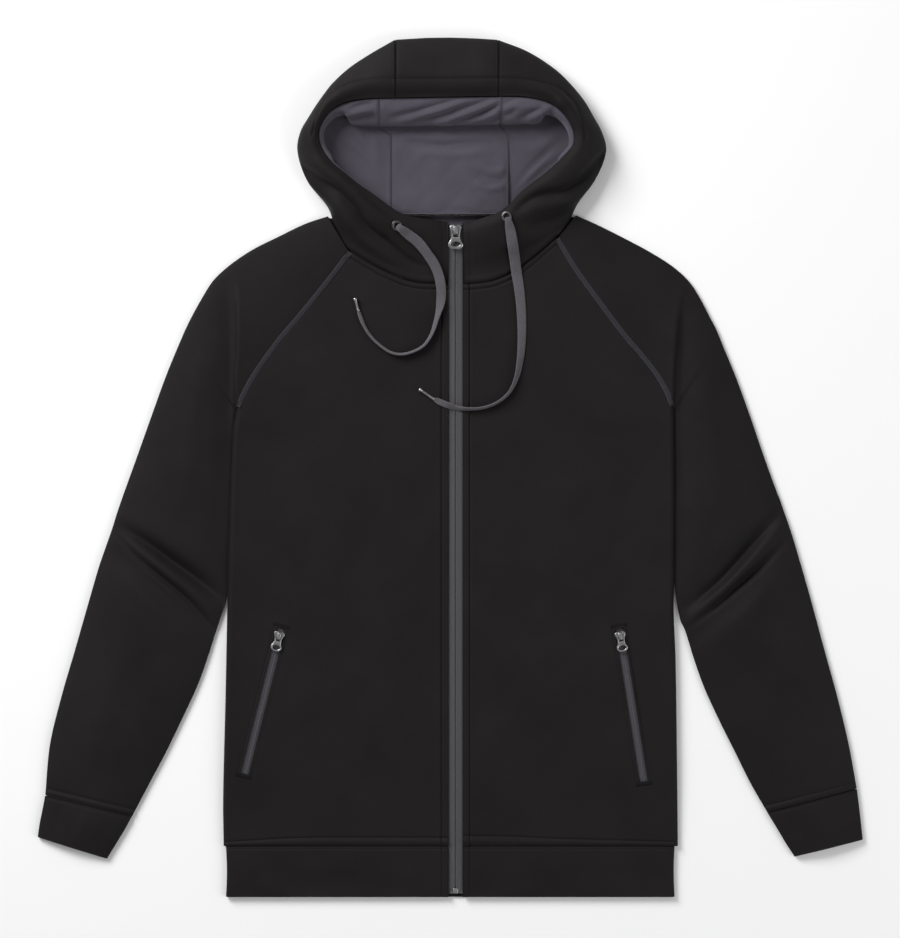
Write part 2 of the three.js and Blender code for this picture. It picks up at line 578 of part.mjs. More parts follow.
// The centre strip runs from the rim over the top of the hood and down its back to the neck.
function hoodCentre() {
  const columns = 7;
  const [right, left] = [HOOD.right, HOOD.left].map((rows) => rows[rows.length - 1]);
  const grid = Array.from({ length: columns }, (_, k) => {
    const share = k / (columns - 1);
    const arch = Math.sin(Math.PI * share);
    const key = (name) => {
      const [a, b] = [right[name], left[name]];
      return mixPoint([-a[0] + SEAM_GAP, a[1], a[2]], [b[0] - SEAM_GAP, b[1], b[2]], share);
    };
    const x = key('rim')[0];
    const side = key('side');
    const under = key('under');
    const points = [
      key('rim'),
      key('crest'),
      [x, mix(side[1], HOOD_TOP_Y, arch), side[2]],
      [x, under[1] + 1.5 * arch, under[2]],
      [x, ROOF_FOOT_Y, FLOOR_MID],
    ];
    return [...section(points, HOOD_STEPS, FLOOR_MID), ...BACK_ROWS.map((y) => [x, y, FLOOR_MID])];
  });
  return offsetWall(grid, CLOTH, -1);
}

// Lining: follows the shell in the collar, and is tucked down to the surface round the opening.
const liningSeamX = (name) => HOOD[name][HOOD[name].length - 1].end[0] + LINING_SEAM_SHIFT[name];

// The hood's sections as the lining has them: their ends on its own neck edge and back seam.
function liningRows(name) {
  const last = HOOD[name].length - 1;
  return HOOD[name].map((row, k) => {
    const start = k === 0 ? TAPE_HALF + 1 : 0;
    const inNeck = k <= LAST_NECK_ROW ? LINING_IN_NECK : (row.neckInset ?? 0);
    const [x, y, z] = row.end;
    const foot = mix(...LINING_BACK_FOOT, (k - FIRST_BACK_ROW) / (last - FIRST_BACK_ROW));
    const end = k < FIRST_BACK_ROW ? [x - (row.neckInset ? LINING_NECK_SHIFT : 0), y + inNeck, z]
      : [liningSeamX(name), foot, z];
    const keys = { ...row, end };
    if (k === last) keys.rim = [LINING_ROOF_SEAM[name], row.rim[1], row.rim[2]];
    HOOD_KEYS.forEach((key) => {
      keys[key] = [Math.max(keys[key][0], start), keys[key][1], keys[key][2]];
    });
    return keys;
  });
}

// Round the opening the lining hangs as a roll. Its rows: distance in from the rim, as a share
// of the roll's depth and in mm, and height, above the surface or below the rim.
const LINING_ROLL = [
  { share: 0, more: 0.5, underRim: 2.2 },
  { share: 0.45, more: 0, underRim: 3.4 },
  { share: 1, more: 0, height: 13 },
  { share: 1, more: -3, height: 8 },
  { share: 1, more: -6, height: 5.4 },
  { share: 1, more: 1, height: LINING_FLOOR_MID },
];

function liningPoints(side, row) {
  const shell = HOOD_KEYS.map((key) => onSide(side, row[key]));
  const inset = row.inset ?? 0;
  const nearEnd = mixPoint(shell[3], shell[4], 0.5);
  const close = [shell[0], shell[1], shell[2], shell[3], nearEnd, nearEnd, shell[4]]
    .map(([x, y, z], k) => {
      const share = inset * Math.sin((Math.PI * (k + 0.5)) / 7);
      return [mix(x, OPENING_CENTRE[0], share), mix(y, OPENING_CENTRE[1], share),
        Math.max(z - LINING_UNDER, LINING_FLOOR_MID)];
    });
  close[5] = mixPoint(close[4], close[6], 0.5);
  const [rimX, rimY, rimZ] = shell[0];
  const towards = [OPENING_CENTRE[0] - rimX, OPENING_CENTRE[1] - rimY];
  const length = Math.hypot(...towards);
  const straight = ease(...ROOF_BAND, row.band); // the roof's roll hangs straight down the photo
  const way = [mix(towards[0] / length, 0, straight), mix(towards[1] / length, -1, straight)];
  const roll = LINING_ROLL.map(({ share, more, underRim, height }) => {
    const distance = row.band * share + more;
    return [rimX + way[0] * distance, rimY + way[1] * distance, height ?? rimZ - underRim];
  });
  const [endX, endY] = shell[4];
  const foot = [endX, endY, LINING_FLOOR_MID + (row.neckInset ? LINING_LIFT : 0)];
  return close.map((point, k) => mixPoint(point, [...roll, foot][k], row.turn));
}

function liningSide(name) {
  const side = SIDES[name];
  const seamX = liningSeamX(name) + SEAM_GAP / 2;
  const rows = liningRows(name).map((row) => liningPoints(side, row));
  const curves = rows[0].map((_, k) => smoothCurve(rows.map((row) => row[k])));
  const grid = Array.from({ length: LINING_STATIONS }, (_, i) => {
    const points = curves.map((curve) => curve.getPoint(i / (LINING_STATIONS - 1)).toArray());
    const seam = i === LINING_STATIONS - 1 ? (side.sign * SEAM_GAP) / 2 : 0;
    const line = section(points.map(([x, y, z]) => [x + seam, y, z]), LINING_STEPS, LINING_FLOOR_MID);
    const foot = line[LINING_STEPS - 1];
    foot[0] = side.sign * Math.max(side.sign * foot[0], seamX);
    return line;
  });
  return offsetWall(grid, LINING, side.sign);
}

function liningCentre() {
  const columns = 7;
  const [right, left] = ['right', 'left'].map((name) => {
    const rows = liningRows(name);
    return liningPoints(SIDES[name], rows[rows.length - 1]);
  });
  const gap = SEAM_GAP / 2;
  const upperFoot = LINING_BACK_FOOT[1];
  const grid = Array.from({ length: columns }, (_, k) => {
    const share = k / (columns - 1);
    const points = right.map((point, n) => mixPoint(
      [point[0] + gap, point[1], point[2]], [left[n][0] - gap, left[n][1], left[n][2]], share));
    const [x] = points[points.length - 1];
    const fold = section(points, LINING_STEPS, LINING_FLOOR_MID);
    const low = BACK_NECK_Y + SEAM_GAP;
    return [...fold, [x, mix(low, upperFoot, 0.5), LINING_FLOOR_MID], [x, low, LINING_FLOOR_MID]];
  });
  return offsetWall(grid, LINING, -1);
}

// Main zip

// Mid height of the cloth edge beside the zip, from the hem up the collar.
const ZIP_EDGE = [[-460, 4.9], [-400, 4.9], [-370, 5.6], [150, 5.6], [194, 5.5], [209, 7], [226, 10.2],
  [247, 13.6], [258, 12]];
const tapeMid = (y) => lookup(ZIP_EDGE, y) - TAPE_UNDER;

const TAPE_ROWS = [-447, -398, -370, -180, 0, 180, 194, 203, 212, 222, 232, 240, 247, 255.5];
const TAPE_TOP = { y: 235, half: 9 }; // the tape is trimmed narrower from here up

function zipTape(side) {
  const outer = (y) => (y > TAPE_TOP.y ? TAPE_TOP.half : TAPE_HALF);
  return wall(TAPE_ROWS.length, 3, (i, j) => {
    const y = TAPE_ROWS[i];
    const x = mix(SEAM_GAP / 2, outer(y), j / 2);
    return [1, -1].map((way) => [side.sign * x, y, tapeMid(y) + (way * TAPE) / 2]);
  });
}

function box(width, depth, height, x, y, z) {
  return new THREE.BoxGeometry(width, depth, height).translate(x, y, z);
}

// Zip sliders and pulls

// A slider along Y with its bridge: a foot on the tape, a plate, and an arch the pull hangs in.
function sliderBody(size) {
  const { plate, length, thick, foot, footDepth, bridge, tunnel } = size;
  const parts = [
    box(plate, length, thick, 0, 0, thick / 2),
    box(foot, length * 0.9, footDepth, 0, 0, 0.2 - footDepth / 2),
    box(bridge, 1.4, tunnel + 1, 0, length / 2 - 0.9, thick + tunnel / 2),
    box(bridge, 1.4, tunnel + 1, 0, -length / 2 + 0.9, thick + tunnel / 2),
    box(bridge, length - 0.4, 1, 0, 0, thick + tunnel + 0.5),
  ];
  return joined(...parts);
}

// A pull hanging towards -Y from its crossbar, which lies on the X axis at the origin.
// Its two legs pass beside the bridge down to the notch, where the plate with its hole begins.
function pullBody({ bar, span, leg, notch, reach, width, thick, holeWidth, holeLength }) {
  const inLeg = span / 2 - leg;
  const shape = new THREE.Shape();
  shape.moveTo(-span / 2, -2.4);
  shape.lineTo(-width / 2, -reach * 0.72);
  shape.lineTo(-width / 2, -reach + 1.5);
  shape.quadraticCurveTo(-width / 2, -reach, -width / 2 + 1.5, -reach);
  shape.lineTo(width / 2 - 1.5, -reach);
  shape.quadraticCurveTo(width / 2, -reach, width / 2, -reach + 1.5);
  shape.lineTo(width / 2, -reach * 0.72);
  shape.lineTo(span / 2, -2.4);
  shape.lineTo(span / 2, bar);
  shape.lineTo(inLeg, bar);
  shape.lineTo(inLeg, -notch);
  shape.lineTo(-inLeg, -notch);
  shape.lineTo(-inLeg, bar);
  shape.lineTo(-span / 2, bar);
  shape.closePath();
  const hole = new THREE.Path();
  const low = -reach + 2.2;
  hole.moveTo(-holeWidth / 2, low);
  hole.lineTo(holeWidth / 2, low);
  hole.lineTo(holeWidth / 2, low + holeLength);
  hole.lineTo(-holeWidth / 2, low + holeLength);
  hole.closePath();
  shape.holes.push(hole);
  const plate = new THREE.ExtrudeGeometry(shape, { depth: thick, bevelEnabled: false, curveSegments: 3 });
  plate.translate(0, 0, -thick / 2);
  const crossbar = new THREE.CylinderGeometry(bar, bar, span - 0.4, 10).rotateZ(Math.PI / 2);
  return joined(plate, crossbar);
}

const MAIN_SLIDER = {
  plate: 12.8, length: 10.4, thick: 1.6, foot: 9, footDepth: 0.5, bridge: 5.6, tunnel: 2.4,
};
const MAIN_PULL = {
  bar: 0.75, span: 10.8, leg: 2, notch: 8.4, reach: 20, width: 15.4, thick: 1.2,
  holeWidth: 10.6, holeLength: 5.4,
};
const MAIN_SLIDER_Y = 249.6;
const SLIDER_OVER_TAPE = 0.7; // room for the teeth under the plate
const MAIN_SLIDER_Z = tapeMid(MAIN_SLIDER_Y) + TAPE / 2 + SLIDER_OVER_TAPE;
const MAIN_HINGE = [0, MAIN_SLIDER_Y, MAIN_SLIDER_Z + MAIN_SLIDER.thick + MAIN_SLIDER.tunnel / 2];
const MAIN_TILT = 5; // degrees that the pull slopes down to the cloth

const ZIP_STOP = { width: 5.6, length: 5.2, thick: 1.2, y: -444 };

function zipStop() {
  const { width, length, thick, y } = ZIP_STOP;
  return box(width, length, thick, 0, y, tapeMid(y) + TAPE / 2 + SEAM_GAP + thick / 2);
}

// Pocket zips: a slanted window in each front, a tape behind it, a slider at its top

const POCKET = {
  right: { top: [183, -167], bottom: [222, -322] },
  left: { top: [171.5, -167], bottom: [197.5, -330] },
};
const WINDOW_WIDTH = 10.4;
const POCKET_TAPE_HALF = 10;
const POCKET_GAP = 0.5; // from the front's cloth to the tape behind it and to the slider on it
const POCKET_TAPE_DROP = CLOTH / 2 + POCKET_GAP + TAPE / 2;
const POCKET_TAPE_MORE = 9; // how far the tape runs on past each end of the window
const POCKET_SLIDER = {
  plate: 11.6, length: 9, thick: 1.0, foot: 8.6, footDepth: 2.3, bridge: 4.6, tunnel: 2.2,
};
const POCKET_PULL = {
  bar: 0.7, span: 9.2, leg: 1.8, notch: 6, reach: 16.5, width: 12, thick: 1.1,
  holeWidth: 8, holeLength: 5.4,
};
const POCKET_SLIDER_DOWN = 9.5; // slider's middle below the window's top end
const POCKET_TILT = 3; // degrees that a pocket pull slopes down to the cloth

function pocketFrame(name) {
  const side = SIDES[name];
  const { top, bottom } = POCKET[name];
  const length = Math.hypot(bottom[0] - top[0], bottom[1] - top[1]);
  const down = [(bottom[0] - top[0]) / length, (bottom[1] - top[1]) / length];
  const at = (along, across) => [top[0] + down[0] * along - down[1] * across,
    top[1] + down[1] * along + down[0] * across];
  const turn = side.sign * Math.atan2(down[0], -down[1]);
  return { side, length, at, turn };
}

function pocketWindow(name) {
  const { side, length, at } = pocketFrame(name);
  const corners = [[0, -1], [0, 1], [length, 1], [length, -1]];
  const shape = new THREE.Shape(corners.map(([along, across]) => {
    const [x, y] = at(along, (across * WINDOW_WIDTH) / 2);
    return new THREE.Vector2(side.sign * x, y);
  }));
  return new THREE.ExtrudeGeometry(shape, { depth: 30, bevelEnabled: false });
}

function pocketTape(name) {
  const { side, length, at } = pocketFrame(name);
  const rows = 9;
  return wall(rows, 3, (i, j) => {
    const along = mix(-POCKET_TAPE_MORE, length + POCKET_TAPE_MORE, i / (rows - 1));
    const [x, y] = at(along, mix(-POCKET_TAPE_HALF, POCKET_TAPE_HALF, j / 2));
    const mid = frontMid(side, x, y) - POCKET_TAPE_DROP;
    return [1, -1].map((way) => [side.sign * x, y, mid + (way * TAPE) / 2]);
  });
}

// Base of a pocket slider's plate: its place, and its turn about Z.
function pocketSliderPlace(name) {
  const { side, at, turn } = pocketFrame(name);
  const [x, y] = at(POCKET_SLIDER_DOWN, 0);
  return { place: [side.sign * x, y, frontMid(side, x, y) + CLOTH / 2 + POCKET_GAP], turn };
}

// Eyelets and drawcords

const EYELET = { outer: 5.6, hole: 2.6, thick: 1.3, above: 0.45 };
const EYELET_AT = {
  right: { station: 2.02, along: 0.30 },
  left: { station: 2.05, along: 0.22 },
};

// A frame on the hood's surface: the point on the mid surface and the outward normal.
function hoodFrame(name, { station, along }) {
  const rows = HOOD[name];
  const spot = (s, t) => {
    const share = s / (rows.length - 1);
    const keys = HOOD_KEYS.map((key) => smoothCurve(rows.map((row) => row[key])).getPoint(share));
    return smoothCurve(keys.map((p) => onSide(SIDES[name], p.toArray()))).getPoint(t);
  };
  const point = spot(station, along);
  const a = spot(station + 0.1, along).sub(spot(station - 0.1, along));
  const b = spot(station, along + 0.02).sub(spot(station, along - 0.02));
  const normal = a.cross(b).normalize();
  return { point, normal: normal.z < 0 ? normal.negate() : normal };
}

function alongNormal(geometry, { point, normal }, lift) {
  const turn = new THREE.Quaternion().setFromUnitVectors(new THREE.Vector3(0, 0, 1), normal);
  const place = point.clone().addScaledVector(normal, lift);
  return geometry.applyQuaternion(turn).translate(...place.toArray());
}

function eyelet(name) {
  const { outer, hole, thick, above } = EYELET;
  const profile = [[hole, 0], [outer, 0], [outer - 0.4, thick * 0.7], [outer - 1.6, thick],
    [hole, thick * 0.6], [hole, 0]].map(([x, y]) => new THREE.Vector2(x, y));
  const ring = new THREE.LatheGeometry(profile, 20).rotateX(Math.PI / 2);
  return alongNormal(ring, hoodFrame(name, EYELET_AT[name]), CLOTH / 2 + above);
}

function eyeletHole(name) {
  const tool = new THREE.CylinderGeometry(EYELET.hole, EYELET.hole, 8, 12).rotateX(Math.PI / 2);
  return alongNormal(tool, hoodFrame(name, EYELET_AT[name]), 0);
}

const CORD_RADIUS = 2.3;
const CORD_SIDES = 8;
const CORD_STEPS = 34;
const CORDS = {
  right: {
    route: [[-60.5, 253, 30], [-58.5, 251, 31.8], [-55, 248.5, 31.5], [-49, 244, 27.5], [-39, 236, 23],
      [-30, 225, 18.2], [-22, 213, 13.2], [-17, 200, 10], [-15, 187, 9.2], [-16, 172, 9], [-20, 156, 8.6],
      [-25, 141, 8.3], [-33, 129, 8.2], [-44, 122.5, 8.2], [-56, 119.5, 8.2], [-67, 121, 8.2],
      [-77, 127, 8.2], [-86, 135, 8.2], [-93, 144, 8.2], [-98, 154, 8.2], [-102, 165, 8.2]],
    tip: [-106, 179.5, 8.4],
  },
  left: {
    route: [[54.5, 262, 32.2], [55, 259, 32.4], [56, 254.5, 31.2], [57.5, 248, 27.6], [59.5, 236, 22.6],
      [62, 220, 14.4], [64, 205, 9], [66.5, 190, 8.3], [68.5, 172, 8.2], [69.5, 154, 8.2], [69.5, 135, 8.2],
      [68, 115, 8.2], [64, 95, 8.2], [56, 79, 8.2], [44, 69, 8.2], [30, 63.5, 8.3], [16, 62, 9.1],
      [2, 63, 9.3], [-11, 67, 9.3], [-23, 72.5, 8.5]],
    tip: [-39, 83.5, 8.4],
  },
};
const TIP_RADIUS = 2.5;
const TIP_GAP = 0.6; // between a cord's end and its tip, which turns a little from it

function cord(name) {
  const { route } = CORDS[name];
  const curve = smoothCurve(route);
  const ring = new THREE.Shape(Array.from({ length: CORD_SIDES }, (_, k) => {
    const angle = (2 * Math.PI * k) / CORD_SIDES;
    return new THREE.Vector2(CORD_RADIUS * Math.cos(angle), CORD_RADIUS * Math.sin(angle));
  }));
  return new THREE.ExtrudeGeometry(ring, { steps: CORD_STEPS, extrudePath: curve, bevelEnabled: false });
}

function cordTip(name) {
  const { route, tip } = CORDS[name];
  const start = new THREE.Vector3(...route[route.length - 1]);
  const end = new THREE.Vector3(...tip);
  const way = end.clone().sub(start);
  const length = way.length();
  way.normalize();
  const shape = new THREE.CylinderGeometry(TIP_RADIUS, TIP_RADIUS, length - TIP_GAP, 12);
  const turn = new THREE.Quaternion().setFromUnitVectors(new THREE.Vector3(0, 1, 0), way);
  const middle = start.clone().addScaledVector(way, (length + TIP_GAP) / 2);
  return shape.applyQuaternion(turn).translate(...middle.toArray());
}

// Materials

const material = (color, roughness, metalness = 0) => new THREE.MeshStandardMaterial({
  color, roughness, metalness, side: THREE.FrontSide });
const fleece = () => material(0x232122, 0.92);
const rib = () => material(0x262425, 0.95);
const liningCloth = () => material(0x51495a, 0.9);
const tapeCloth = () => material(0x47454a, 0.85);
const cordCloth = () => material(0x554f58, 0.9);
const metal = () => material(0x77767a, 0.35, 1);

// The garment

const garment = new THREE.Group();

function add(name, geometry, finish, parent = garment) {
  const mesh = new THREE.Mesh(geometry, finish);
  mesh.name = name;
  parent.add(mesh);
  return mesh;
}

add('back_panel', backPanel(), fleece());
add('waistband', waistband(), rib());
add('hood_centre', hoodCentre(), fleece());
add('lining_centre', liningCentre(), liningCloth());

for (const name of ['right', 'left']) {
  const side = SIDES[name];
  add(`front_${name}`, cutAway(frontPanel(side), pocketWindow(name)), fleece());
  add(`sleeve_${name}`, tubeWall(side, sleeveRows(side), CLOTH), fleece());
  add(`cuff_${name}`, tubeWall(side, cuffRows(side), RIB), rib());
  add(`hood_${name}`, cutAway(hoodSide(name), eyeletHole(name)), fleece());
  add(`lining_${name}`, liningSide(name), liningCloth());
  add(`zip_tape_${name}`, zipTape(side), tapeCloth());
  add(`pocket_tape_${name}`, pocketTape(name), tapeCloth());
  add(`eyelet_${name}`, eyelet(name), metal());
  add(`drawcord_${name}`, cord(name), cordCloth());
  add(`cord_tip_${name}`, cordTip(name), metal());

  const { place, turn } = pocketSliderPlace(name);
  const pocketSlider = new THREE.Group();
  pocketSlider.position.set(...place);
  pocketSlider.rotation.z = turn;
  add(`pocket_slider_${name}`, sliderBody(POCKET_SLIDER), metal(), pocketSlider);
  const pocketPull = add(`pocket_pull_${name}`, pullBody(POCKET_PULL), metal(), pocketSlider);
  pocketPull.position.z = POCKET_SLIDER.thick + POCKET_SLIDER.tunnel / 2;
  pocketPull.rotation.x = THREE.MathUtils.degToRad(POCKET_TILT);
  garment.add(pocketSlider);
}

const slider = add('main_slider', sliderBody(MAIN_SLIDER), metal());
slider.position.set(0, MAIN_SLIDER_Y, MAIN_SLIDER_Z);
const pull = add('main_pull', pullBody(MAIN_PULL), metal());
pull.position.set(...MAIN_HINGE);
pull.rotation.x = THREE.MathUtils.degToRad(MAIN_TILT);

add('zip_stop', zipStop(), metal());

export default garment;
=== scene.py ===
# Looks of a zip up hoodie laid flat on its back, front up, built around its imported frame.
# Tables are in millimetres in the part's frame: +X to the wearer's left, +Y to the hood, +Z up.
import math

import bmesh
import bpy
import numpy as np
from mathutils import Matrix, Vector
from mathutils.bvhtree import BVHTree


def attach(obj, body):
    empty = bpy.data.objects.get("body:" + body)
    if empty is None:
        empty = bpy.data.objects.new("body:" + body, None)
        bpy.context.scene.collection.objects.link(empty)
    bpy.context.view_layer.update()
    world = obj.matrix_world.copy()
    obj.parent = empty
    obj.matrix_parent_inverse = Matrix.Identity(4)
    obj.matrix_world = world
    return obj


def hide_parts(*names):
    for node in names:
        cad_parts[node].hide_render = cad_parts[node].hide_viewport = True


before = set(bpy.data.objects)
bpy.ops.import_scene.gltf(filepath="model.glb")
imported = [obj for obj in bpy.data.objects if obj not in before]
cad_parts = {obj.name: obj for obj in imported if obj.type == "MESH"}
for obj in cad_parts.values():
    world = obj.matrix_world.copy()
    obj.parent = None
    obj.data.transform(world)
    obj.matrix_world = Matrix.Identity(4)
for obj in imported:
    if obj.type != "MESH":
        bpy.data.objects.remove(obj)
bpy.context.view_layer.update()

MM = 0.001

# Camera: straight above, at the photograph's framing

PIXEL = 1.05  # millimetres of the garment that one pixel of the photograph shows
VIEW_CENTRE = (-5.8, -1.0, 5.0)
VIEW_LONG_SIDE = 938 * PIXEL
LENS = 200.0
SENSOR = 36.0


def make_camera():
    data = bpy.data.cameras.new("camera")
    data.lens, data.sensor_width = LENS, SENSOR
    camera = bpy.data.objects.new("camera", data)
    distance = VIEW_LONG_SIDE / 2 / (SENSOR / 2 / LENS)
    camera.location = Vector((VIEW_CENTRE[0], VIEW_CENTRE[1], VIEW_CENTRE[2] + distance)) * MM
    bpy.context.scene.collection.objects.link(camera)
    bpy.context.scene.camera = camera


make_camera()

# Driving dimensions, the same as the part's

SEAM_GAP = 0.3
SEAM_CLOSE = 0.05  # each side of a sewn seam that is drawn shut
CLOTH = 1.6
LINING = 1.2
RIB = 2.0
FLOOR_MID = CLOTH / 2
HEM_SEAM_Y = -397
HEM_Y = -450.5
FRONT_MID = 4.6
SIDE_SEAM_MID = 2.7
SIDE_PUFF = 4.2
SIDE_PUFF_REACH = 28
PLACKET_RISE = 1.0
FRONT_EDGE_X = 7.3
PLACKET_X = 13.0
PLACKET_FOOT_X = 15.5
TUBE_EDGE_RADIUS = 2.5
NECK_GAP = 0.35
TAPE = 1.1
TAPE_HALF = 12.4
TAPE_UNDER = 1.75

# x is the distance from the zip line. The sleeve's rows are its inner point, its outer point and its puff.
SIDES = {
    "right": dict(
        sign=-1,
        neck=[(7, 194), (23, 194), (40, 195), (56, 199), (72, 206), (91, 216), (110, 228)],
        raglan=[(110, 228), (137, 193), (163, 161), (185, 135), (204, 109), (216, 90), (225, 72), (230, 60)],
        side=[(-397, 243), (-348, 243.5), (-243, 241), (-144, 239), (-33, 236), (39, 233), (60, 230),
              (93, 232), (119, 230), (160, 230), (190, 232), (208, 236), (300, 240)],
        fold_top=207,
        back_raglan_top=100,
        shoulder=[(134, 264.5), (158, 256.5), (186, 243), (213, 229.5), (236, 214), (254, 197.5), (266, 179),
                  (276, 161), (283, 147), (290, 131)],
        sleeve=[(231.5, 34, 304, 97, 6.0), (234, 2, 320, 53, 6.5), (236, -34, 336, 8, 7.0),
                (238, -72, 349, -28, 7.5), (239, -112, 356.5, -50, 7.8), (240.5, -137, 359.5, -60, 3.6),
                (247, -158, 362.5, -69, 8.2), (253, -176, 366, -79, 4.4), (259, -195, 374, -102, 7.8),
                (270, -226, 386, -143, 8.2), (287, -263, 400, -192, 8.6), (304, -298, 414, -240, 9.0),
                (321, -330, 426, -290, 8.6), (339.5, -365, 431, -343.5, 6.0)],
        cuff=[(339.6, -365.4, 431.1, -343.9, 5.6), (349, -382, 434, -359, 5.8), (358, -397, 437, -374, 5.4),
              (366.2, -410.2, 438.9, -387.6, 4.2)],
    ),
    "left": dict(
        sign=1,
        neck=[(7, 193), (22, 194.2), (39, 197), (58, 205), (76, 217), (91, 230), (106, 243)],
        raglan=[(106, 243), (125, 211), (153, 172), (178, 139), (196, 118), (212, 97), (223, 77), (229, 60)],
        side=[(-397, 233), (-306, 232), (-201, 230.5), (-150, 228.5), (-114, 229), (-12, 229.5), (60, 229),
              (107, 230), (133, 232), (160, 235), (177, 238), (191, 239), (300, 242)],
        fold_top=190,
        back_raglan_top=100,
        shoulder=[(126.5, 265.5), (150, 255), (178, 241), (205, 226.5), (229, 211), (246, 195), (258, 176),
                  (267, 158.5), (274, 145), (281, 128)],
        sleeve=[(230, 34, 295, 94, 6.0), (230.4, 2, 311, 50, 6.5), (230.2, -30, 324, 12, 7.0),
                (230, -66, 336, -21, 7.5), (229.6, -118, 341, -34, 7.8), (236, -159, 344, -43, 3.4),
                (240.5, -169, 349, -57, 8.0), (244.5, -181, 354, -72, 4.6), (250, -199, 362, -99, 7.8),
                (261, -230, 374, -141, 8.2), (277, -265, 387.5, -191, 8.6), (294, -299, 401, -240, 9.0),
                (310, -331, 413, -290, 8.6), (327.5, -361.5, 421.5, -336.5, 6.0)],
        cuff=[(327.6, -361.9, 421.6, -336.9, 5.6), (338, -379, 424, -356, 5.8), (347, -394, 426, -373, 5.4),
              (356.3, -408.1, 427.8, -390.3, 4.2)],
    ),
}

# Hood sections: rim, crest, side, under, end, then turn, band, inset and neck inset of the lining.
HOOD = {
    "right": [
        ((7.3, 258, 12), (7.3, 247, 13.6), (7.3, 226, 10.2), (7.3, 209, 7), (7.3, 194, 5.4), 0, 0, 0, 0),
        ((26, 260.5, 17), (27, 250, 19.5), (32, 229, 15.5), (36, 211, 8.6), (40, 195, 5.4), 0, 0, 0, 0),
        ((57, 267, 24), (60, 257, 26.5), (65, 238, 21), (69, 220, 11.5), (72, 206, 5.6), 0, 0, 0, 0),
        ((85, 286, 28), (89, 276, 31), (97, 255, 24.5), (104, 240, 13), (110, 228, 6.2), 0, 0, 0, 0),
        ((109, 303, 30), (114, 294, 33), (122, 275, 26), (124, 260, 13.5), (122.5, 249.5, 6), 0, 0, .035, 0),
        ((122, 314, 30.5), (128, 306, 33.5), (137, 285, 18), (134, 275, 5.5), (129, 268.8, 2.4), .5, 3, .06, 11),
        ((133, 324, 30.5), (140, 319, 33.5), (154, 301, 15), (147, 296, 1.2), (92, 266.9, 0.8), 1, 4, 0, 3),
        ((142, 339, 29), (150, 338, 32.5), (165, 333, 15), (157, 331, 1.2), (63.5, 276, 0.8), 1, 5, 0, 0),
        ((143.5, 352, 28), (150, 354, 32), (162, 352, 15), (154, 350, 1.2), (63.5, 312, 0.8), 1, 5, 0, 0),
        ((140, 362, 28), (144, 367, 32), (153, 368, 15), (145, 364, 1.2), (63.5, 345, 0.8), 1, 6, 0, 0),
        ((134, 371, 28), (136, 380, 32), (142, 385, 15), (135, 379, 1.2), (63.5, 374, 0.8), 1, 9, 0, 0),
        ((125, 378, 28), (124, 390, 32), (129, 402, 15), (123, 395, 1.2), (63.5, 397, 0.8), 1, 15, 0, 0),
        ((111, 383.5, 28), (110, 398, 32), (112, 418, 15), (107, 410, 1.2), (63.5, 416, 0.8), 1, 23, 0, 0),
        ((90, 386.5, 28), (87, 406, 32.5), (88, 434, 14.5), (85, 426, 1.2), (63.5, 430, 0.8), 1, 27, 0, 0),
        ((63.5, 387, 28), (63.5, 409, 33), (63.5, 448, 14), (63.5, 442, 1.2), (63.5, 436, 0.8), 1, 28, 0, 0),
    ],
    "left": [
        ((7.3, 257, 12), (7.3, 246, 13.6), (7.3, 225, 10.2), (7.3, 208, 7), (7.3, 193, 5.4), 0, 0, 0, 0),
        ((22, 260, 17), (24, 250, 19.5), (31, 229, 15.5), (35, 212, 8.6), (39, 197, 5.4), 0, 0, 0, 0),
        ((48, 269.5, 24), (53, 261, 26.5), (64, 244, 21), (71, 229, 11.5), (76, 217, 5.6), 0, 0, 0, 0),
        ((71, 291, 27), (78, 284, 30), (92, 267, 24), (101, 253, 13), (106, 243, 6.2), 0, 0, 0, 0),
        ((93, 308, 29), (100, 301, 32), (114, 281, 25.5), (118, 266, 13.5), (115.5, 255.5, 6), 0, 0, .035, 0),
        ((104, 318, 30), (112, 312, 33), (130, 288, 18), (127, 277, 5.5), (122, 269, 2.4), .5, 3, .06, 11),
        ((113, 325, 30), (122, 321, 33), (144, 301, 15), (138, 297, 1.2), (88, 266.9, 0.8), 1, 4, 0, 3),
        ((123.5, 338, 29), (133, 338, 32.5), (157, 333, 15), (150, 331, 1.2), (44.2, 276, 0.8), 1, 5, 0, 0),
        ((124, 350, 28), (132, 353, 32), (153, 351, 15), (146, 349, 1.2), (44.2, 312, 0.8), 1, 5, 0, 0),
        ((120, 361, 28), (125, 367, 32), (144, 368, 15), (137, 364, 1.2), (44.2, 345, 0.8), 1, 6, 0, 0),
        ((113, 371, 28), (115, 381, 32), (134, 385, 15), (127, 379, 1.2), (44.2, 374, 0.8), 1, 9, 0, 0),
        ((104, 379, 28), (104, 391, 32), (120, 402, 15), (114, 395, 1.2), (44.2, 397, 0.8), 1, 15, 0, 0),
        ((90, 385, 28), (89, 400, 32), (103, 418, 15), (98, 410, 1.2), (44.2, 416, 0.8), 1, 23, 0, 0),
        ((69, 388.5, 28), (67, 408, 32.5), (75, 436, 14.5), (72, 428, 1.2), (44.2, 431, 0.8), 1, 27, 0, 0),
        ((44.2, 389, 28), (44.2, 411, 33), (44.2, 448, 14), (44.2, 442, 1.2), (44.2, 436, 0.8), 1, 28, 0, 0),
    ],
}
NEAR_FLOOR = 2
HOOD_TOP_Y = 450.3
BACK_NECK_Y = 266.3
OPENING_CENTRE = (-9, 325)
LINING_LIFT = 0.8
LINING_SEAM_SHIFT = {"right": 5, "left": 11}  # from the shell's back seam out to the lining's
LINING_ROOF_SEAM = {"right": 80.6, "left": 47.5}  # the same seam on the lining's roll
LINING_NECK_SHIFT = 5
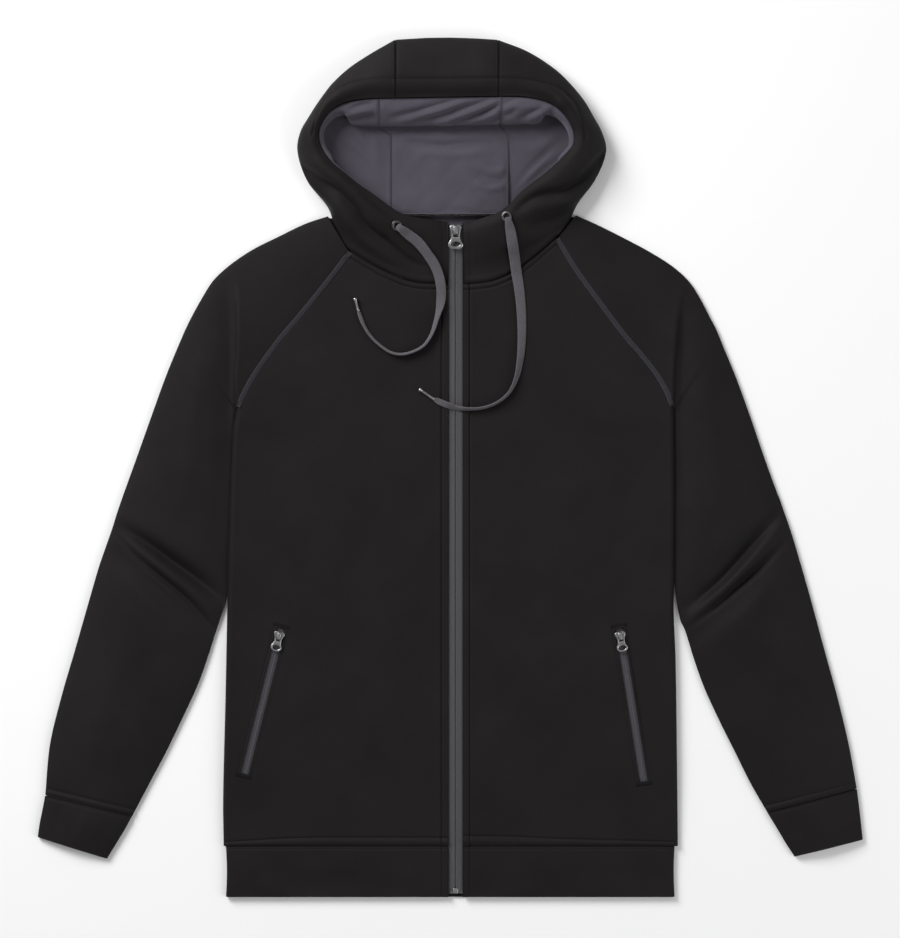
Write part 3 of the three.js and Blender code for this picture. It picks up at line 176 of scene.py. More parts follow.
LINING_BACK_FOOT = (268, 350)
LAST_NECK_ROW = 4
FIRST_BACK_ROW = 7
ROOF_BAND = (10, 26)
LINING_UNDER = 2.4
LINING_IN_NECK = 5.3
LINING_LOFT = 0.7  # the lining lies this loose on what is under it
LINING_CREASE_DEPTH = 2.2
FOLD_SINK = 1.25  # the lining sinks this many times as far as the shell's folds over it
LINING_FLOOR_MID = CLOTH + SEAM_GAP + LINING / 2

# Shared curves


def clamp01(value):
    return np.clip(value, 0.0, 1.0)


def mix(a, b, t):
    return a + (b - a) * t


def ease(start, end, value):
    t = clamp01((np.asarray(value, float) - start) / (end - start))
    return t * t * (3 - 2 * t)


def lookup(rows, key):
    """Values of a smooth curve through rows of a key and its values, at one or many keys."""
    rows = np.asarray(rows, float)
    keys, values = rows[:, 0], rows[:, 1:]
    last = len(keys) - 1
    key = np.asarray(key, float)
    i = np.clip(np.searchsorted(keys, key, side="left"), 1, last)
    before = np.maximum(np.arange(last + 1) - 1, 0)
    after = np.minimum(np.arange(last + 1) + 1, last)
    slope = (values[after] - values[before]) / (keys[after] - keys[before])[:, None]
    span = (keys[i] - keys[i - 1])[..., None]
    t = clamp01((key[..., None] - keys[i - 1][..., None]) / span)
    found = ((2 * t**3 - 3 * t**2 + 1) * values[i - 1] + (t**3 - 2 * t**2 + t) * span * slope[i - 1]
             + (3 * t**2 - 2 * t**3) * values[i] + (t**3 - t**2) * span * slope[i])
    return found[..., 0] if values.shape[1] == 1 else found


def smooth(points, shares):
    """Points at shares 0 to 1 of a centripetal Catmull-Rom curve through points of any dimension."""
    p = np.asarray(points, float)
    spans = len(p) - 1
    p = np.vstack([2 * p[0] - p[1], p, 2 * p[-1] - p[-2]])
    place = clamp01(np.asarray(shares, float)) * spans
    i = np.minimum(place.astype(int), spans - 1)
    w = (place - i)[:, None]
    p0, p1, p2, p3 = p[i], p[i + 1], p[i + 2], p[i + 3]
    gap = [(np.sum((b - a) ** 2, axis=1) ** 0.25)[:, None] for a, b in ((p0, p1), (p1, p2), (p2, p3))]
    middle = np.where(gap[1] < 1e-4, 1.0, gap[1])
    first = np.where(gap[0] < 1e-4, middle, gap[0])
    final = np.where(gap[2] < 1e-4, middle, gap[2])
    t1 = ((p1 - p0) / first - (p2 - p0) / (first + middle) + (p2 - p1) / middle) * middle
    t2 = ((p2 - p1) / middle - (p3 - p1) / (middle + final) + (p3 - p2) / final) * middle
    return (p1 + t1 * w + (-3 * p1 + 3 * p2 - 2 * t1 - t2) * w**2 + (2 * p1 - 2 * p2 + t1 + t2) * w**3)


def even(start, end, count):
    return np.linspace(start, end, count)


def swell(x, y, wavelength, seed, count=7):
    """Gentle uneven ground of height about one, the same each run."""
    random = np.random.default_rng(seed)
    total = 0
    for _ in range(count):
        angle, phase = random.uniform(0, math.pi), random.uniform(0, 2 * math.pi)
        size = wavelength * random.uniform(0.7, 1.5)
        total = total + np.sin(2 * math.pi * (x * math.cos(angle) + y * math.sin(angle)) / size + phase)
    return total / math.sqrt(count)


# Creases and seams as lines seen from above

def beside(x, y, line):
    """Distance of points from a line, their share along it and their side, 1 on the left of its way."""
    line = np.asarray(line, float)[:, :2]
    steps = np.linalg.norm(np.diff(line, axis=0), axis=1)
    start = np.concatenate([[0], np.cumsum(steps)])
    best = np.full(np.shape(x), 1e9)
    share, side = np.zeros(np.shape(x)), np.ones(np.shape(x))
    for k, step in enumerate(steps):
        way = (line[k + 1] - line[k]) / step
        dx, dy = x - line[k, 0], y - line[k, 1]
        along = np.clip(dx * way[0] + dy * way[1], 0, step)
        distance = np.hypot(dx - along * way[0], dy - along * way[1])
        near = distance < best
        best = np.where(near, distance, best)
        share = np.where(near, (start[k] + along) / start[-1], share)
        side = np.where(near, np.where(way[0] * dy - way[1] * dx > 0, 1.0, -1.0), side)
    return best, share, side


def crease_height(x, y, height, left, right, points, taper=True):
    """A soft ridge, or a trough where height is negative, with a width for each side of its line."""
    line = smooth(points, even(0, 1, 4 * len(points)))
    reach = 2.6 * max(left, right)
    inside = ((x > line[:, 0].min() - reach) & (x < line[:, 0].max() + reach)
              & (y > line[:, 1].min() - reach) & (y < line[:, 1].max() + reach))
    found = np.zeros(np.shape(x))
    if not inside.any():
        return found
    distance, share, side = beside(x[inside], y[inside], line)
    width = np.where(side > 0, left, right)
    fade = np.sin(math.pi * np.clip(share, 0.001, 0.999)) ** 0.6 if taper else 1.0
    found[inside] = height * fade * np.exp(-((distance / width) ** 2))
    return found


def relief(x, y, creases):
    total = np.zeros(np.shape(x))
    for height, left, right, points in creases:
        total += crease_height(x, y, height, left, right, points)
    return total


def groove(x, y, line, depth, width):
    """A stitched seam pressed into the cloth, as deep all along its line."""
    return crease_height(x, y, -depth, width, width, line, taper=False)


def offset_line(points, distance, count=60):
    """A line beside another one, to the left of its way where distance is positive."""
    line = smooth(np.asarray(points, float)[:, :2], even(0, 1, count))
    way = np.gradient(line, axis=0)
    way /= np.linalg.norm(way, axis=1)[:, None]
    return line + np.stack([-way[:, 1], way[:, 0]], axis=1) * distance


# Meshes

def new_piece(name, points, faces, material, uv=None, replaces=(), body="garment"):
    mesh = bpy.data.meshes.new(name)
    mesh.from_pydata((np.asarray(points) * MM).tolist(), [], faces)
    if uv is not None:
        layer = mesh.uv_layers.new(name="cut")
        corners = np.empty(len(mesh.loops), int)
        mesh.loops.foreach_get("vertex_index", corners)
        layer.data.foreach_set("uv", (np.asarray(uv) * MM)[corners].astype(np.float32).ravel())
    mesh.shade_smooth()
    mesh.materials.append(material)
    piece = bpy.data.objects.new(name, mesh)
    bpy.context.scene.collection.objects.link(piece)
    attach(piece, body)
    if replaces:
        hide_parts(*replaces)
    return piece


def grid_normals(grid, outward):
    along = np.gradient(grid, axis=0)
    across = np.gradient(grid, axis=1)
    normal = np.cross(along, across)
    size = np.linalg.norm(normal, axis=2, keepdims=True)
    return normal / np.where(size < 1e-9, 1, size) * outward


def grid_uv(grid):
    """Distances along the cloth in both directions of a grid, so that its knit keeps its size."""
    def arc(axis):
        steps = np.linalg.norm(np.diff(grid, axis=axis), axis=2)
        pad = [(0, 0), (0, 0)]
        pad[axis] = (1, 0)
        return np.pad(np.cumsum(steps, axis=axis), pad)
    across = arc(1)
    return np.stack([across - across.mean(axis=1, keepdims=True), arc(0)], axis=2)


def shell_mesh(outer, inner):
    """Points and faces of a closed cloth wall with round edges between two grids."""
    rows, columns = outer.shape[:2]
    index = np.arange(rows * columns).reshape(rows, columns)
    count = rows * columns
    quads = np.stack([index[:-1, :-1], index[1:, :-1], index[1:, 1:], index[:-1, 1:]], axis=2).reshape(-1, 4)
    border = np.concatenate([index[:-1, 0], index[-1, :-1], index[:0:-1, -1], index[0, :0:-1]])
    flat_out, flat_in = outer.reshape(-1, 3), inner.reshape(-1, 3)
    near = np.concatenate([index[:-1, 1], index[-2, :-1], index[:0:-1, -2], index[1, :0:-1]])
    middle = (flat_out[border] + flat_in[border]) / 2
    away = middle - (flat_out[near] + flat_in[near]) / 2
    size = np.linalg.norm(away, axis=1, keepdims=True)
    half = np.linalg.norm(flat_out[border] - flat_in[border], axis=1, keepdims=True) / 2
    away = away / np.where(size < 1e-9, 1, size)
    # The edge is rounded: both grids' rims are drawn in, and rings between them reach the true edge.
    through = (flat_out[border] - flat_in[border]) / 2
    rings = [middle + through * math.sin(math.radians(a)) - away * half * (1 - math.cos(math.radians(a)))
             for a in (50, 0, -50)]
    flat_out, flat_in = flat_out.copy(), flat_in.copy()
    flat_out[border] -= away * half * 0.8
    flat_in[border] -= away * half * 0.8
    points = np.vstack([flat_out, flat_in, *rings])
    faces = [*quads.tolist(), *(quads[:, ::-1] + count).tolist()]
    ring_starts = [2 * count + k * len(border) for k in range(3)]
    chain = [border, *[start + np.arange(len(border)) for start in ring_starts], border + count]
    for a, b in zip(chain[:-1], chain[1:]):
        faces += np.stack([a, b, np.roll(b, -1), np.roll(a, -1)], axis=1)[:, ::-1].tolist()
    volume = 0.0
    p = points[quads]
    q = points[quads + count]
    for s, sign in ((p, 1), (q, -1)):
        volume += sign * np.einsum("ij,ij->i", s[:, 0], np.cross(s[:, 1], s[:, 2])).sum()
        volume += sign * np.einsum("ij,ij->i", s[:, 0], np.cross(s[:, 2], s[:, 3])).sum()
    if volume < 0:
        faces = [face[::-1] for face in faces]
    return points, faces, border


def declare_cut(mid):
    """Works out the flat size that a piece of cloth was cut to, all round where it is a tube, and does not keep it."""
    across = np.linalg.norm(np.diff(mid, axis=1), axis=2).sum(axis=1).max()
    along = np.linalg.norm(np.diff(mid, axis=0), axis=2).sum(axis=0).max()
    first = mid[1:, 1:] - mid[:-1, :-1]
    second = mid[1:, :-1] - mid[:-1, 1:]
    area = np.linalg.norm(np.cross(first, second), axis=2).sum() / 2
    width, length = sorted((float(across), float(along)))
    width = min(width, area / (0.32 * length))


def cloth_piece(name, mid, thickness, outward, material, replaces=None, keep_above=True):
    """A thin shell of cloth, thickened along the normals of its middle surface."""
    normal = grid_normals(mid, outward)
    outer, inner = mid + normal * thickness / 2, mid - normal * thickness / 2
    if keep_above:
        outer[..., 2] = np.maximum(outer[..., 2], 0)
        inner[..., 2] = np.maximum(inner[..., 2], 0)
    points, faces, border = shell_mesh(outer, inner)
    uv = grid_uv(mid).reshape(-1, 2)
    edge = uv[border]
    uv = np.vstack([uv, uv, edge, edge, edge])
    piece = new_piece(name, points, faces, material, uv, replaces or (name,))
    declare_cut(mid)
    return piece


# Materials

def node_material(name):
    material = bpy.data.materials.new(name)
    material.use_nodes = True
    tree = material.node_tree
    shader = tree.nodes["Principled BSDF"]
    return material, tree, shader


def link(tree, start, out, end, into):
    tree.links.new(start.outputs[out], end.inputs[into])


def add_node(tree, kind, **values):
    node = tree.nodes.new(kind)
    for key, value in values.items():
        if hasattr(node, key):
            setattr(node, key, value)
        else:
            node.inputs[key].default_value = value
    return node


def math_node(tree, operation, a, b=None):
    node = tree.nodes.new("ShaderNodeMath")
    node.operation = operation
    for k, value in enumerate((a, b)):
        if value is None:
            continue
        if isinstance(value, (int, float)):
            node.inputs[k].default_value = value
        else:
            tree.links.new(value, node.inputs[k])
    return node.outputs[0]


def colour_between(tree, factor, dark, light):
    ramp = tree.nodes.new("ShaderNodeValToRGB")
    ramp.color_ramp.elements[0].color = (*dark, 1)
    ramp.color_ramp.elements[1].color = (*light, 1)
    ramp.color_ramp.elements[0].position = 0.3
    ramp.color_ramp.elements[1].position = 0.7
    tree.links.new(factor, ramp.inputs[0])
    return ramp.outputs[0]


def knit_material(name, dark, light, wale, course, depth, roughness, sheen, tint, shine=0.25):
    """Jersey: columns of small leaning loops, on the cloth's own cut."""
    material, tree, shader = node_material(name)
    place = add_node(tree, "ShaderNodeUVMap", uv_map="cut")
    split = tree.nodes.new("ShaderNodeSeparateXYZ")
    link(tree, place, "UV", split, 0)
    column = math_node(tree, "DIVIDE", split.outputs[0], wale * MM)
    leg = math_node(tree, "PINGPONG", column, 0.5)
    row = math_node(tree, "DIVIDE", split.outputs[1], course * MM)
    lean = math_node(tree, "ADD", row, math_node(tree, "MULTIPLY", leg, 1.3))
    loop = math_node(tree, "SINE", math_node(tree, "MULTIPLY", lean, 2 * math.pi))
    gap = math_node(tree, "SINE", math_node(tree, "MULTIPLY", leg, 2 * math.pi))
    height = math_node(tree, "ADD", gap, math_node(tree, "MULTIPLY", loop, 0.35))
    fuzz = add_node(tree, "ShaderNodeTexNoise", Scale=1800.0, Detail=2.0)
    patch = add_node(tree, "ShaderNodeTexNoise", Scale=14.0, Detail=4.0, Roughness=0.6)
    coords = tree.nodes.new("ShaderNodeTexCoord")
    link(tree, coords, "Object", fuzz, "Vector")
    link(tree, coords, "Object", patch, "Vector")
    worn = math_node(tree, "ADD", math_node(tree, "MULTIPLY", patch.outputs["Fac"], 0.65),
                     math_node(tree, "MULTIPLY", fuzz.outputs["Fac"], 0.35))
    tree.links.new(colour_between(tree, worn, dark, light), shader.inputs["Base Color"])
    bump = add_node(tree, "ShaderNodeBump", Strength=1.0, Distance=depth * MM)
    mixed = math_node(tree, "ADD", math_node(tree, "MULTIPLY", height, 0.5),
                      math_node(tree, "MULTIPLY", fuzz.outputs["Fac"], 0.8))
    tree.links.new(mixed, bump.inputs["Height"])
    link(tree, bump, "Normal", shader, "Normal")
    shader.inputs["Roughness"].default_value = roughness
    shader.inputs["Sheen Weight"].default_value = sheen
    shader.inputs["Sheen Roughness"].default_value = 0.45
    shader.inputs["Sheen Tint"].default_value = (*tint, 1)
    shader.inputs["Specular IOR Level"].default_value = shine
    return material


def woven_material(name, dark, light, pitch, depth, across="cut"):
    """Fine diagonal weave of a tape or a flat braid."""
    material, tree, shader = node_material(name)
    place = add_node(tree, "ShaderNodeUVMap", uv_map=across)
    split = tree.nodes.new("ShaderNodeSeparateXYZ")
    link(tree, place, "UV", split, 0)
    u = math_node(tree, "DIVIDE", split.outputs[0], pitch * MM)
    v = math_node(tree, "DIVIDE", split.outputs[1], pitch * MM)
    fold = math_node(tree, "PINGPONG", u, 1.0)
    turns = math_node(tree, "MULTIPLY", math_node(tree, "ADD", v, fold), 2 * math.pi)
    thread = math_node(tree, "SINE", turns)
    ply = math_node(tree, "SINE", math_node(tree, "MULTIPLY", u, 2 * math.pi))
    height = math_node(tree, "ADD", thread, math_node(tree, "MULTIPLY", ply, 0.4))
    noise = add_node(tree, "ShaderNodeTexNoise", Scale=900.0, Detail=3.0)
    coords = tree.nodes.new("ShaderNodeTexCoord")
    link(tree, coords, "Object", noise, "Vector")
    shade = math_node(tree, "ADD", math_node(tree, "MULTIPLY", height, 0.14), noise.outputs["Fac"])
    tree.links.new(colour_between(tree, shade, dark, light), shader.inputs["Base Color"])
    bump = add_node(tree, "ShaderNodeBump", Strength=1.0, Distance=depth * MM)
    tree.links.new(height, bump.inputs["Height"])
    link(tree, bump, "Normal", shader, "Normal")
    shader.inputs["Roughness"].default_value = 0.82
    shader.inputs["Sheen Weight"].default_value = 0.2
    shader.inputs["Specular IOR Level"].default_value = 0.3
    return material


def thread_material(name, dark, light):
    material, tree, shader = node_material(name)
    noise = add_node(tree, "ShaderNodeTexNoise", Scale=2500.0, Detail=2.0)
    coords = tree.nodes.new("ShaderNodeTexCoord")
    link(tree, coords, "Object", noise, "Vector")
    tree.links.new(colour_between(tree, noise.outputs["Fac"], dark, light), shader.inputs["Base Color"])
    bump = add_node(tree, "ShaderNodeBump", Strength=0.6, Distance=0.05 * MM)
    tree.links.new(noise.outputs["Fac"], bump.inputs["Height"])
    link(tree, bump, "Normal", shader, "Normal")
    shader.inputs["Roughness"].default_value = 0.7
    shader.inputs["Specular IOR Level"].default_value = 0.12
    return material


def metal_material(name, dark, light, roughness):
    """Plated die-cast metal with fine scuffs."""
    material, tree, shader = node_material(name)
    coords = tree.nodes.new("ShaderNodeTexCoord")
    noise = add_node(tree, "ShaderNodeTexNoise", Scale=420.0, Detail=5.0, Roughness=0.65)
    link(tree, coords, "Object", noise, "Vector")
    tree.links.new(colour_between(tree, noise.outputs["Fac"], dark, light), shader.inputs["Base Color"])
    low = add_node(tree, "ShaderNodeMapRange")
    low.inputs["To Min"].default_value = roughness - 0.08
    low.inputs["To Max"].default_value = roughness + 0.12
    tree.links.new(noise.outputs["Fac"], low.inputs["Value"])
    tree.links.new(low.outputs[0], shader.inputs["Roughness"])
    bump = add_node(tree, "ShaderNodeBump", Strength=0.5, Distance=0.04 * MM)
    tree.links.new(noise.outputs["Fac"], bump.inputs["Height"])
    link(tree, bump, "Normal", shader, "Normal")
    shader.inputs["Metallic"].default_value = 1.0
    return material


SHELL_CLOTH = knit_material("shell_jersey", (.0092, .0080, .0081), (.0134, .0117, .0119), 0.9, 0.75, 0.06,
                            0.62, 0.02, (.55, .53, .56), 0.1)
BAND_CLOTH = knit_material("band_jersey", (.0090, .0078, .0079), (.0130, .0113, .0115), 0.8, 0.7, 0.07,
                           0.62, 0.02, (.55, .53, .56), 0.1)
LINING_CLOTH = knit_material("lining_jersey", (.056, .050, .066), (.084, .075, .097), 0.8, 0.65, 0.10,
                             0.8, 0.2, (.8, .76, .85))
TAPE_CLOTH = woven_material("zip_tape_weave", (.056, .054, .058), (.088, .085, .090), 0.55, 0.06)
POCKET_TAPE_CLOTH = woven_material("pocket_tape_weave", (.050, .047, .056), (.080, .075, .088), 0.55, 0.06)
CORD_CLOTH = woven_material("cord_braid", (.084, .076, .088), (.136, .123, .142), 1.3, 0.22)
SHELL_THREAD = thread_material("shell_thread", (.0055, .0052, .0055), (.011, .0105, .011))
RAGLAN_THREAD = thread_material("raglan_thread", (.030, .028, .040), (.052, .048, .066))
RAGLAN_COVER = woven_material("raglan_cover_thread", (.013, .012, .016), (.024, .022, .030), 0.9, 0.14)
LINING_THREAD = thread_material("lining_thread", (.030, .026, .036), (.05, .044, .06))
TOOTH_PLASTIC = thread_material("zip_coil_nylon", (.040, .038, .041), (.07, .067, .071))
HARDWARE = metal_material("gunmetal", (.30, .30, .31), (.46, .455, .46), 0.32)
EYELET_METAL = metal_material("eyelet_gunmetal", (.085, .082, .086), (.16, .155, .16), 0.34)

# Body panels

def side_x(side, y):
    return lookup(side["side"], y)


def side_puff(side, x, y):
    inside = side_x(side, y) - x
    fade = (1 - ease(side["fold_top"] - 60, side["fold_top"] + 8, y)) * (0.25 + 0.75 * ease(-410, -300, y))
    edge = ease(-0.6, 1.6, inside)
    return SIDE_PUFF * fade * np.exp(-np.maximum(inside, 0) / SIDE_PUFF_REACH) * edge


def front_mid(side, x, y):
    placket = PLACKET_RISE * (1 - ease(PLACKET_X, PLACKET_FOOT_X, x))
    return FRONT_MID + placket + side_puff(side, x, y)


RAGLAN_STEPS = [0, 0.16, 0.32, 0.47, 0.61, 0.74, 0.85, 0.93, 0.985, 1]
PLACKET_STITCH_X = 14.6
NECK_STITCH = 6.3  # from the neck seam to the stitch line below it
HEM_STITCH = {"right": [(8, -388.2), (90, -388), (167, -388.4), (244, -392.8)],
              "left": [(8, -386), (60, -387), (105, -389), (236, -392.4)]}
HEM_LOWER_Y = -399.8
CUFF_STITCH = 7.6  # from the cuff seam up the sleeve
SEAM_ROLL = 0.75  # height of the cloth's roll between a seam and its stitch line


def cuff_seam_line(side, above):
    """A line across the sleeve at a distance above its cuff seam."""
    low, high = side["cuff"][0], side["sleeve"][-2]
    inner, outer = np.array(low[0:2]), np.array(low[2:4])
    up = (np.array(high[0:2]) + high[2:4]) / 2 - (inner + outer) / 2
    up /= np.linalg.norm(up)
    return np.array([inner + up * above, outer + up * above])


def cuff_press(side, x, y):
    """The cuff's seam, its stitch line and the roll between them."""
    lines = ((0, 1.1, 1.3), (CUFF_STITCH / 2, -SEAM_ROLL, 2.2), (CUFF_STITCH, 0.9, 1.1), (-2.4, 0.5, 0.9))
    return sum(groove(x, y, cuff_seam_line(side, above), depth, width) for above, depth, width in lines)


def raglan_at(side, shares):
    x = mix(side["raglan"][0][0], side["raglan"][-1][0], np.asarray(shares, float))
    return np.stack([x, lookup(side["raglan"], x)], axis=1)


def back_raglan_at(side, shares):
    end = side["raglan"][-1]
    curve = [(side["back_raglan_top"], BACK_NECK_Y - 0.6), (150, 188), (198, 120), end]
    x = mix(side["back_raglan_top"], end[0], np.asarray(shares, float))
    return np.stack([x, lookup(curve, x)], axis=1)


def front_neck_line(side):
    x = even(FRONT_EDGE_X, side["neck"][-1][0], 40)
    return np.stack([x, lookup(side["neck"], x)], axis=1)


# Soft creases of the body and the sleeves: height, width left and right of the line, points.
BODY_CREASES = [
    # pull lines from the right armhole and a few long soft ones on the chest
    (0.9, 16, 20, [(-222, 75), (-196, 52), (-168, 38)]),
    (-0.8, 14, 16, [(-228, 48), (-200, 18), (-176, -10)]),
    (0.9, 15, 18, [(222, 80), (198, 55), (170, 42)]),
    (-0.8, 12, 16, [(224, 40), (205, 12), (184, -14)]),
    (0.7, 18, 24, [(-120, 170), (-116, 90), (-124, 10), (-118, -80)]),
    (-0.7, 16, 22, [(-60, 120), (-72, 20), (-64, -90)]),
    (0.6, 18, 22, [(96, 170), (104, 90), (98, 0)]),
    (-0.6, 16, 20, [(150, 60), (146, -20), (154, -110)]),
    # beside the pocket zips
    (0.9, 9, 14, [(165, -165), (172, -230), (186, -322)]),
    (-0.9, 7, 9, [(183, -152), (186, -205), (205, -300)]),
    (0.7, 10, 12, [(-172, -175), (-184, -240), (-204, -318)]),
    (0.6, 20, 20, [(-150, -360), (-80, -366), (-30, -372)]),
    (0.6, 20, 18, [(60, -362), (120, -352), (190, -360)]),
]
SLEEVE_CREASES = [
    # right elbow: two folds running in to the armpit and the roll between them
    (-6.4, 7, 5, [(-356, -54), (-344, -64), (-321, -80), (-294, -101), (-268, -120), (-242, -140),
                  (-222, -156)]),
    (2.2, 6, 6, [(-356, -64), (-327, -87), (-300, -108), (-274, -130), (-250, -152)]),
    (-5.6, 4, 4, [(-362, -66), (-354, -73), (-334, -93), (-308, -115), (-281, -138), (-252, -172),
                  (-240, -188)]),
    (1.0, 9, 9, [(-350, -112), (-318, -142), (-280, -186)]),
    # left elbow
    (-6.4, 5, 7, [(348, -30), (341, -47), (323, -68), (302, -93), (281, -117), (254, -138), (226, -156)]),
    (2.2, 6, 6, [(343, -60), (320, -86), (296, -111), (272, -135), (246, -157)]),
    (-5.6, 4, 4, [(350, -70), (341, -82), (320, -103), (291, -128), (264, -152), (236, -174)]),
    (1.0, 9, 9, [(346, -104), (312, -144), (270, -188)]),
    # the sleeves fall away beside the body
    (-3.4, 4, 11, [(-241, 200), (-237, 150), (-237.5, 90), (-239, 30), (-242, -40), (-244, -130)]),
    (-3.4, 11, 4, [(243, 190), (239, 159), (236.5, 107), (236.5, 37), (236.5, -33), (236, -120)]),
    (-2.2, 3, 3, [(242, 187), (247, 182), (252, 177)]),
    (1.2, 14, 12, [(-262, 140), (-272, 70), (-282, -10), (-296, -50)]),
    (1.2, 12, 14, [(260, 130), (268, 60), (276, -20), (290, -50)]),
    # long soft folds down the sleeves
    (-0.6, 12, 12, [(-316, -188), (-342, -242), (-360, -300)]),
    (0.6, 12, 12, [(-338, -176), (-364, -236), (-384, -306)]),
    (-0.6, 12, 12, [(304, -186), (330, -240), (350, -300)]),
    (0.6, 12, 12, [(328, -176), (352, -236), (374, -300)]),
]


def front_lines(side):
    """Pressed seam lines on one front: neck, stitch below it, placket, hem and raglan."""
    neck = front_neck_line(side)
    hem = np.array(HEM_STITCH["right" if side["sign"] < 0 else "left"], float)
    between = np.stack([hem[:, 0], (hem[:, 1] + HEM_SEAM_Y) / 2], axis=1)
    lines = [
        (neck, 1.2, 1.3),
        (offset_line(neck, -NECK_STITCH / 2), -SEAM_ROLL, 1.9),
        (offset_line(neck, -NECK_STITCH), 0.9, 1.0),
        ([(PLACKET_STITCH_X, HEM_Y), (PLACKET_STITCH_X, 0), (PLACKET_STITCH_X, 262)], 0.8, 0.9),
        ([(PLACKET_STITCH_X + 3, HEM_Y), (PLACKET_STITCH_X + 3, 0), (PLACKET_STITCH_X + 3, 262)], -0.3, 1.6),
        (hem, 0.9, 1.0),
        (between, -SEAM_ROLL, 2.4),
        ([(5, HEM_SEAM_Y), (120, HEM_SEAM_Y), (245, HEM_SEAM_Y)], 1.0, 1.4),
        (raglan_at(side, even(0, 1, 24)), 0.3, 3.0),
    ]
    return lines


def pressed(x, y, side):
    return sum(groove(x, y, line, depth, width) for line, depth, width in front_lines(side))


def front_panel(name):
    side = SIDES[name]
    sign = side["sign"]
    neck_end = side["neck"][-1][0]
    placket_x = [even(FRONT_EDGE_X, 12.6, 7), even(13.2, 17.2, 10)]
    neck_x = np.concatenate([*placket_x, even(18.6, neck_end, 40)[:-1]])
    top = np.vstack([np.stack([neck_x, lookup(side["neck"], neck_x)], axis=1),
                     raglan_at(side, np.concatenate([even(0, 0.94, 46), even(0.95, 1, 12)]))])
    hem = HEM_SEAM_Y + SEAM_GAP / 2
    shares = np.concatenate([even(0, 0.022, 16)[:-1], even(0.022, 0.975, 156)[:-1], even(0.975, 1, 16)])
    y = hem + (top[None, :, 1] - hem) * shares[:, None]
    share = (top[:, 0] - FRONT_EDGE_X) / (side_x(side, top[:, 1]) - FRONT_EDGE_X)
    x = FRONT_EDGE_X + (side_x(side, y) - FRONT_EDGE_X) * share[None, :]
    inside = clamp01((side_x(side, y) - x) / 5.0)
    roll = np.sqrt(np.maximum(0, 1 - (1 - inside) ** 2))
    flat = front_mid(side, x, y) - side_puff(side, x, y)
    puff = SIDE_PUFF * (1 - ease(side["fold_top"] - 60, side["fold_top"] + 8, y))
    puff = puff * (0.25 + 0.75 * ease(-410, -300, y)) * np.exp(-(side_x(side, y) - x) / SIDE_PUFF_REACH)
    z = mix(SIDE_SEAM_MID, flat + puff, roll)
    world_x = sign * x
    waves = 0.35 * swell(world_x, y, 130, 5) + 0.1 * swell(world_x, y, 34, 6)
    soft = 0.7 * relief(world_x, y, BODY_CREASES) + waves
    quiet = ease(8, 26, x) * ease(hem, hem + 22, y) * ease(0, 14, side_x(side, y) - x)
    z = z + soft * quiet + pressed(x, y, side)
    mid = np.stack([world_x, y, z], axis=2)
    piece = cloth_piece(f"front_{name}_cloth", mid, CLOTH, sign, SHELL_CLOTH, (f"front_{name}",))
    return piece


NECK_FACING = (96, 205)  # half width and lower edge of the lining's cloth inside the back neck


def back_panel():
    right, left = SIDES["right"], SIDES["left"]
    rb, lb = back_raglan_at(right, even(0, 1, 22)), back_raglan_at(left, even(0, 1, 22))
    neck = np.stack([even(-96, 96, 30), np.full(30, BACK_NECK_Y - SEAM_GAP - 0.3)], axis=1)
    top = np.vstack([rb[::-1] * (-1, 1), neck, lb])
    hem = HEM_SEAM_Y + SEAM_GAP / 2
    shares = even(0, 1, 64)
    y = hem + (top[None, :, 1] - hem) * shares[:, None]
    a, b = -side_x(right, top[:, 1]), side_x(left, top[:, 1])
    share = (top[:, 0] - a) / (b - a)
    ya, yb = -side_x(right, y), side_x(left, y)
    x = ya + (yb - ya) * share
    lift = 0.25 * (1 + swell(x, y, 90, 8)) * ease(0, 30, x - ya) * ease(0, 30, yb - x)
    outer = np.stack([x, y, np.full_like(x, CLOTH) + np.clip(lift, 0, 0.28)], axis=2)
    inner = np.stack([x, y, np.zeros_like(x)], axis=2)
    points, faces, border = shell_mesh(outer, inner)
    uv = grid_uv(inner).reshape(-1, 2)
    uv = np.vstack([uv, uv, *[uv[border]] * 3])
    piece = new_piece("back_panel_cloth", points, faces, SHELL_CLOTH, uv, ("back_panel",))
    declare_cut((outer + inner) / 2)
    piece.data.materials.append(LINING_CLOTH)
    for face in piece.data.polygons:
        middle = np.array(face.center) / MM
        if middle[1] > NECK_FACING[1] and abs(middle[0]) < NECK_FACING[0] and face.normal.z > 0:
            face.material_index = 1
    return piece


# Sleeves and cuffs

def sleeve_table(side):
    """Control rows of a sleeve: inner, outer and back inner point, puff and the height of its inner edge."""
    front, back = raglan_at(side, RAGLAN_STEPS), back_raglan_at(side, RAGLAN_STEPS)

    def apart(points):
        way = np.empty_like(points)
        way[1:-1] = points[2:] - points[:-2]
        way[0], way[-1] = points[1] - points[0], points[-1] - points[-2]
        way /= np.linalg.norm(way, axis=1)[:, None]
        return points + np.stack([-way[:, 1], way[:, 0]], axis=1) * 0.4

    front, back = apart(front), apart(back)
    front[0] += (1.6, -0.4)
    back[0] += (0.5, -1.2)
    rows = []
    for k in range(len(front)):
        middle = SIDE_SEAM_MID if k == len(front) - 1 else FRONT_MID
        rows.append([*front[k], *side["shoulder"][k], *back[k], mix(1.5, 5.5, k / (len(front) - 1)), middle])
    for in_x, in_y, out_x, out_y, puff in side["sleeve"]:
        x = max(in_x, float(side_x(side, in_y)) + (0.7 if in_y > -150 else 0))
        rows.append([x, in_y, out_x, out_y, x, in_y, puff, SIDE_SEAM_MID])
    return np.array(rows)


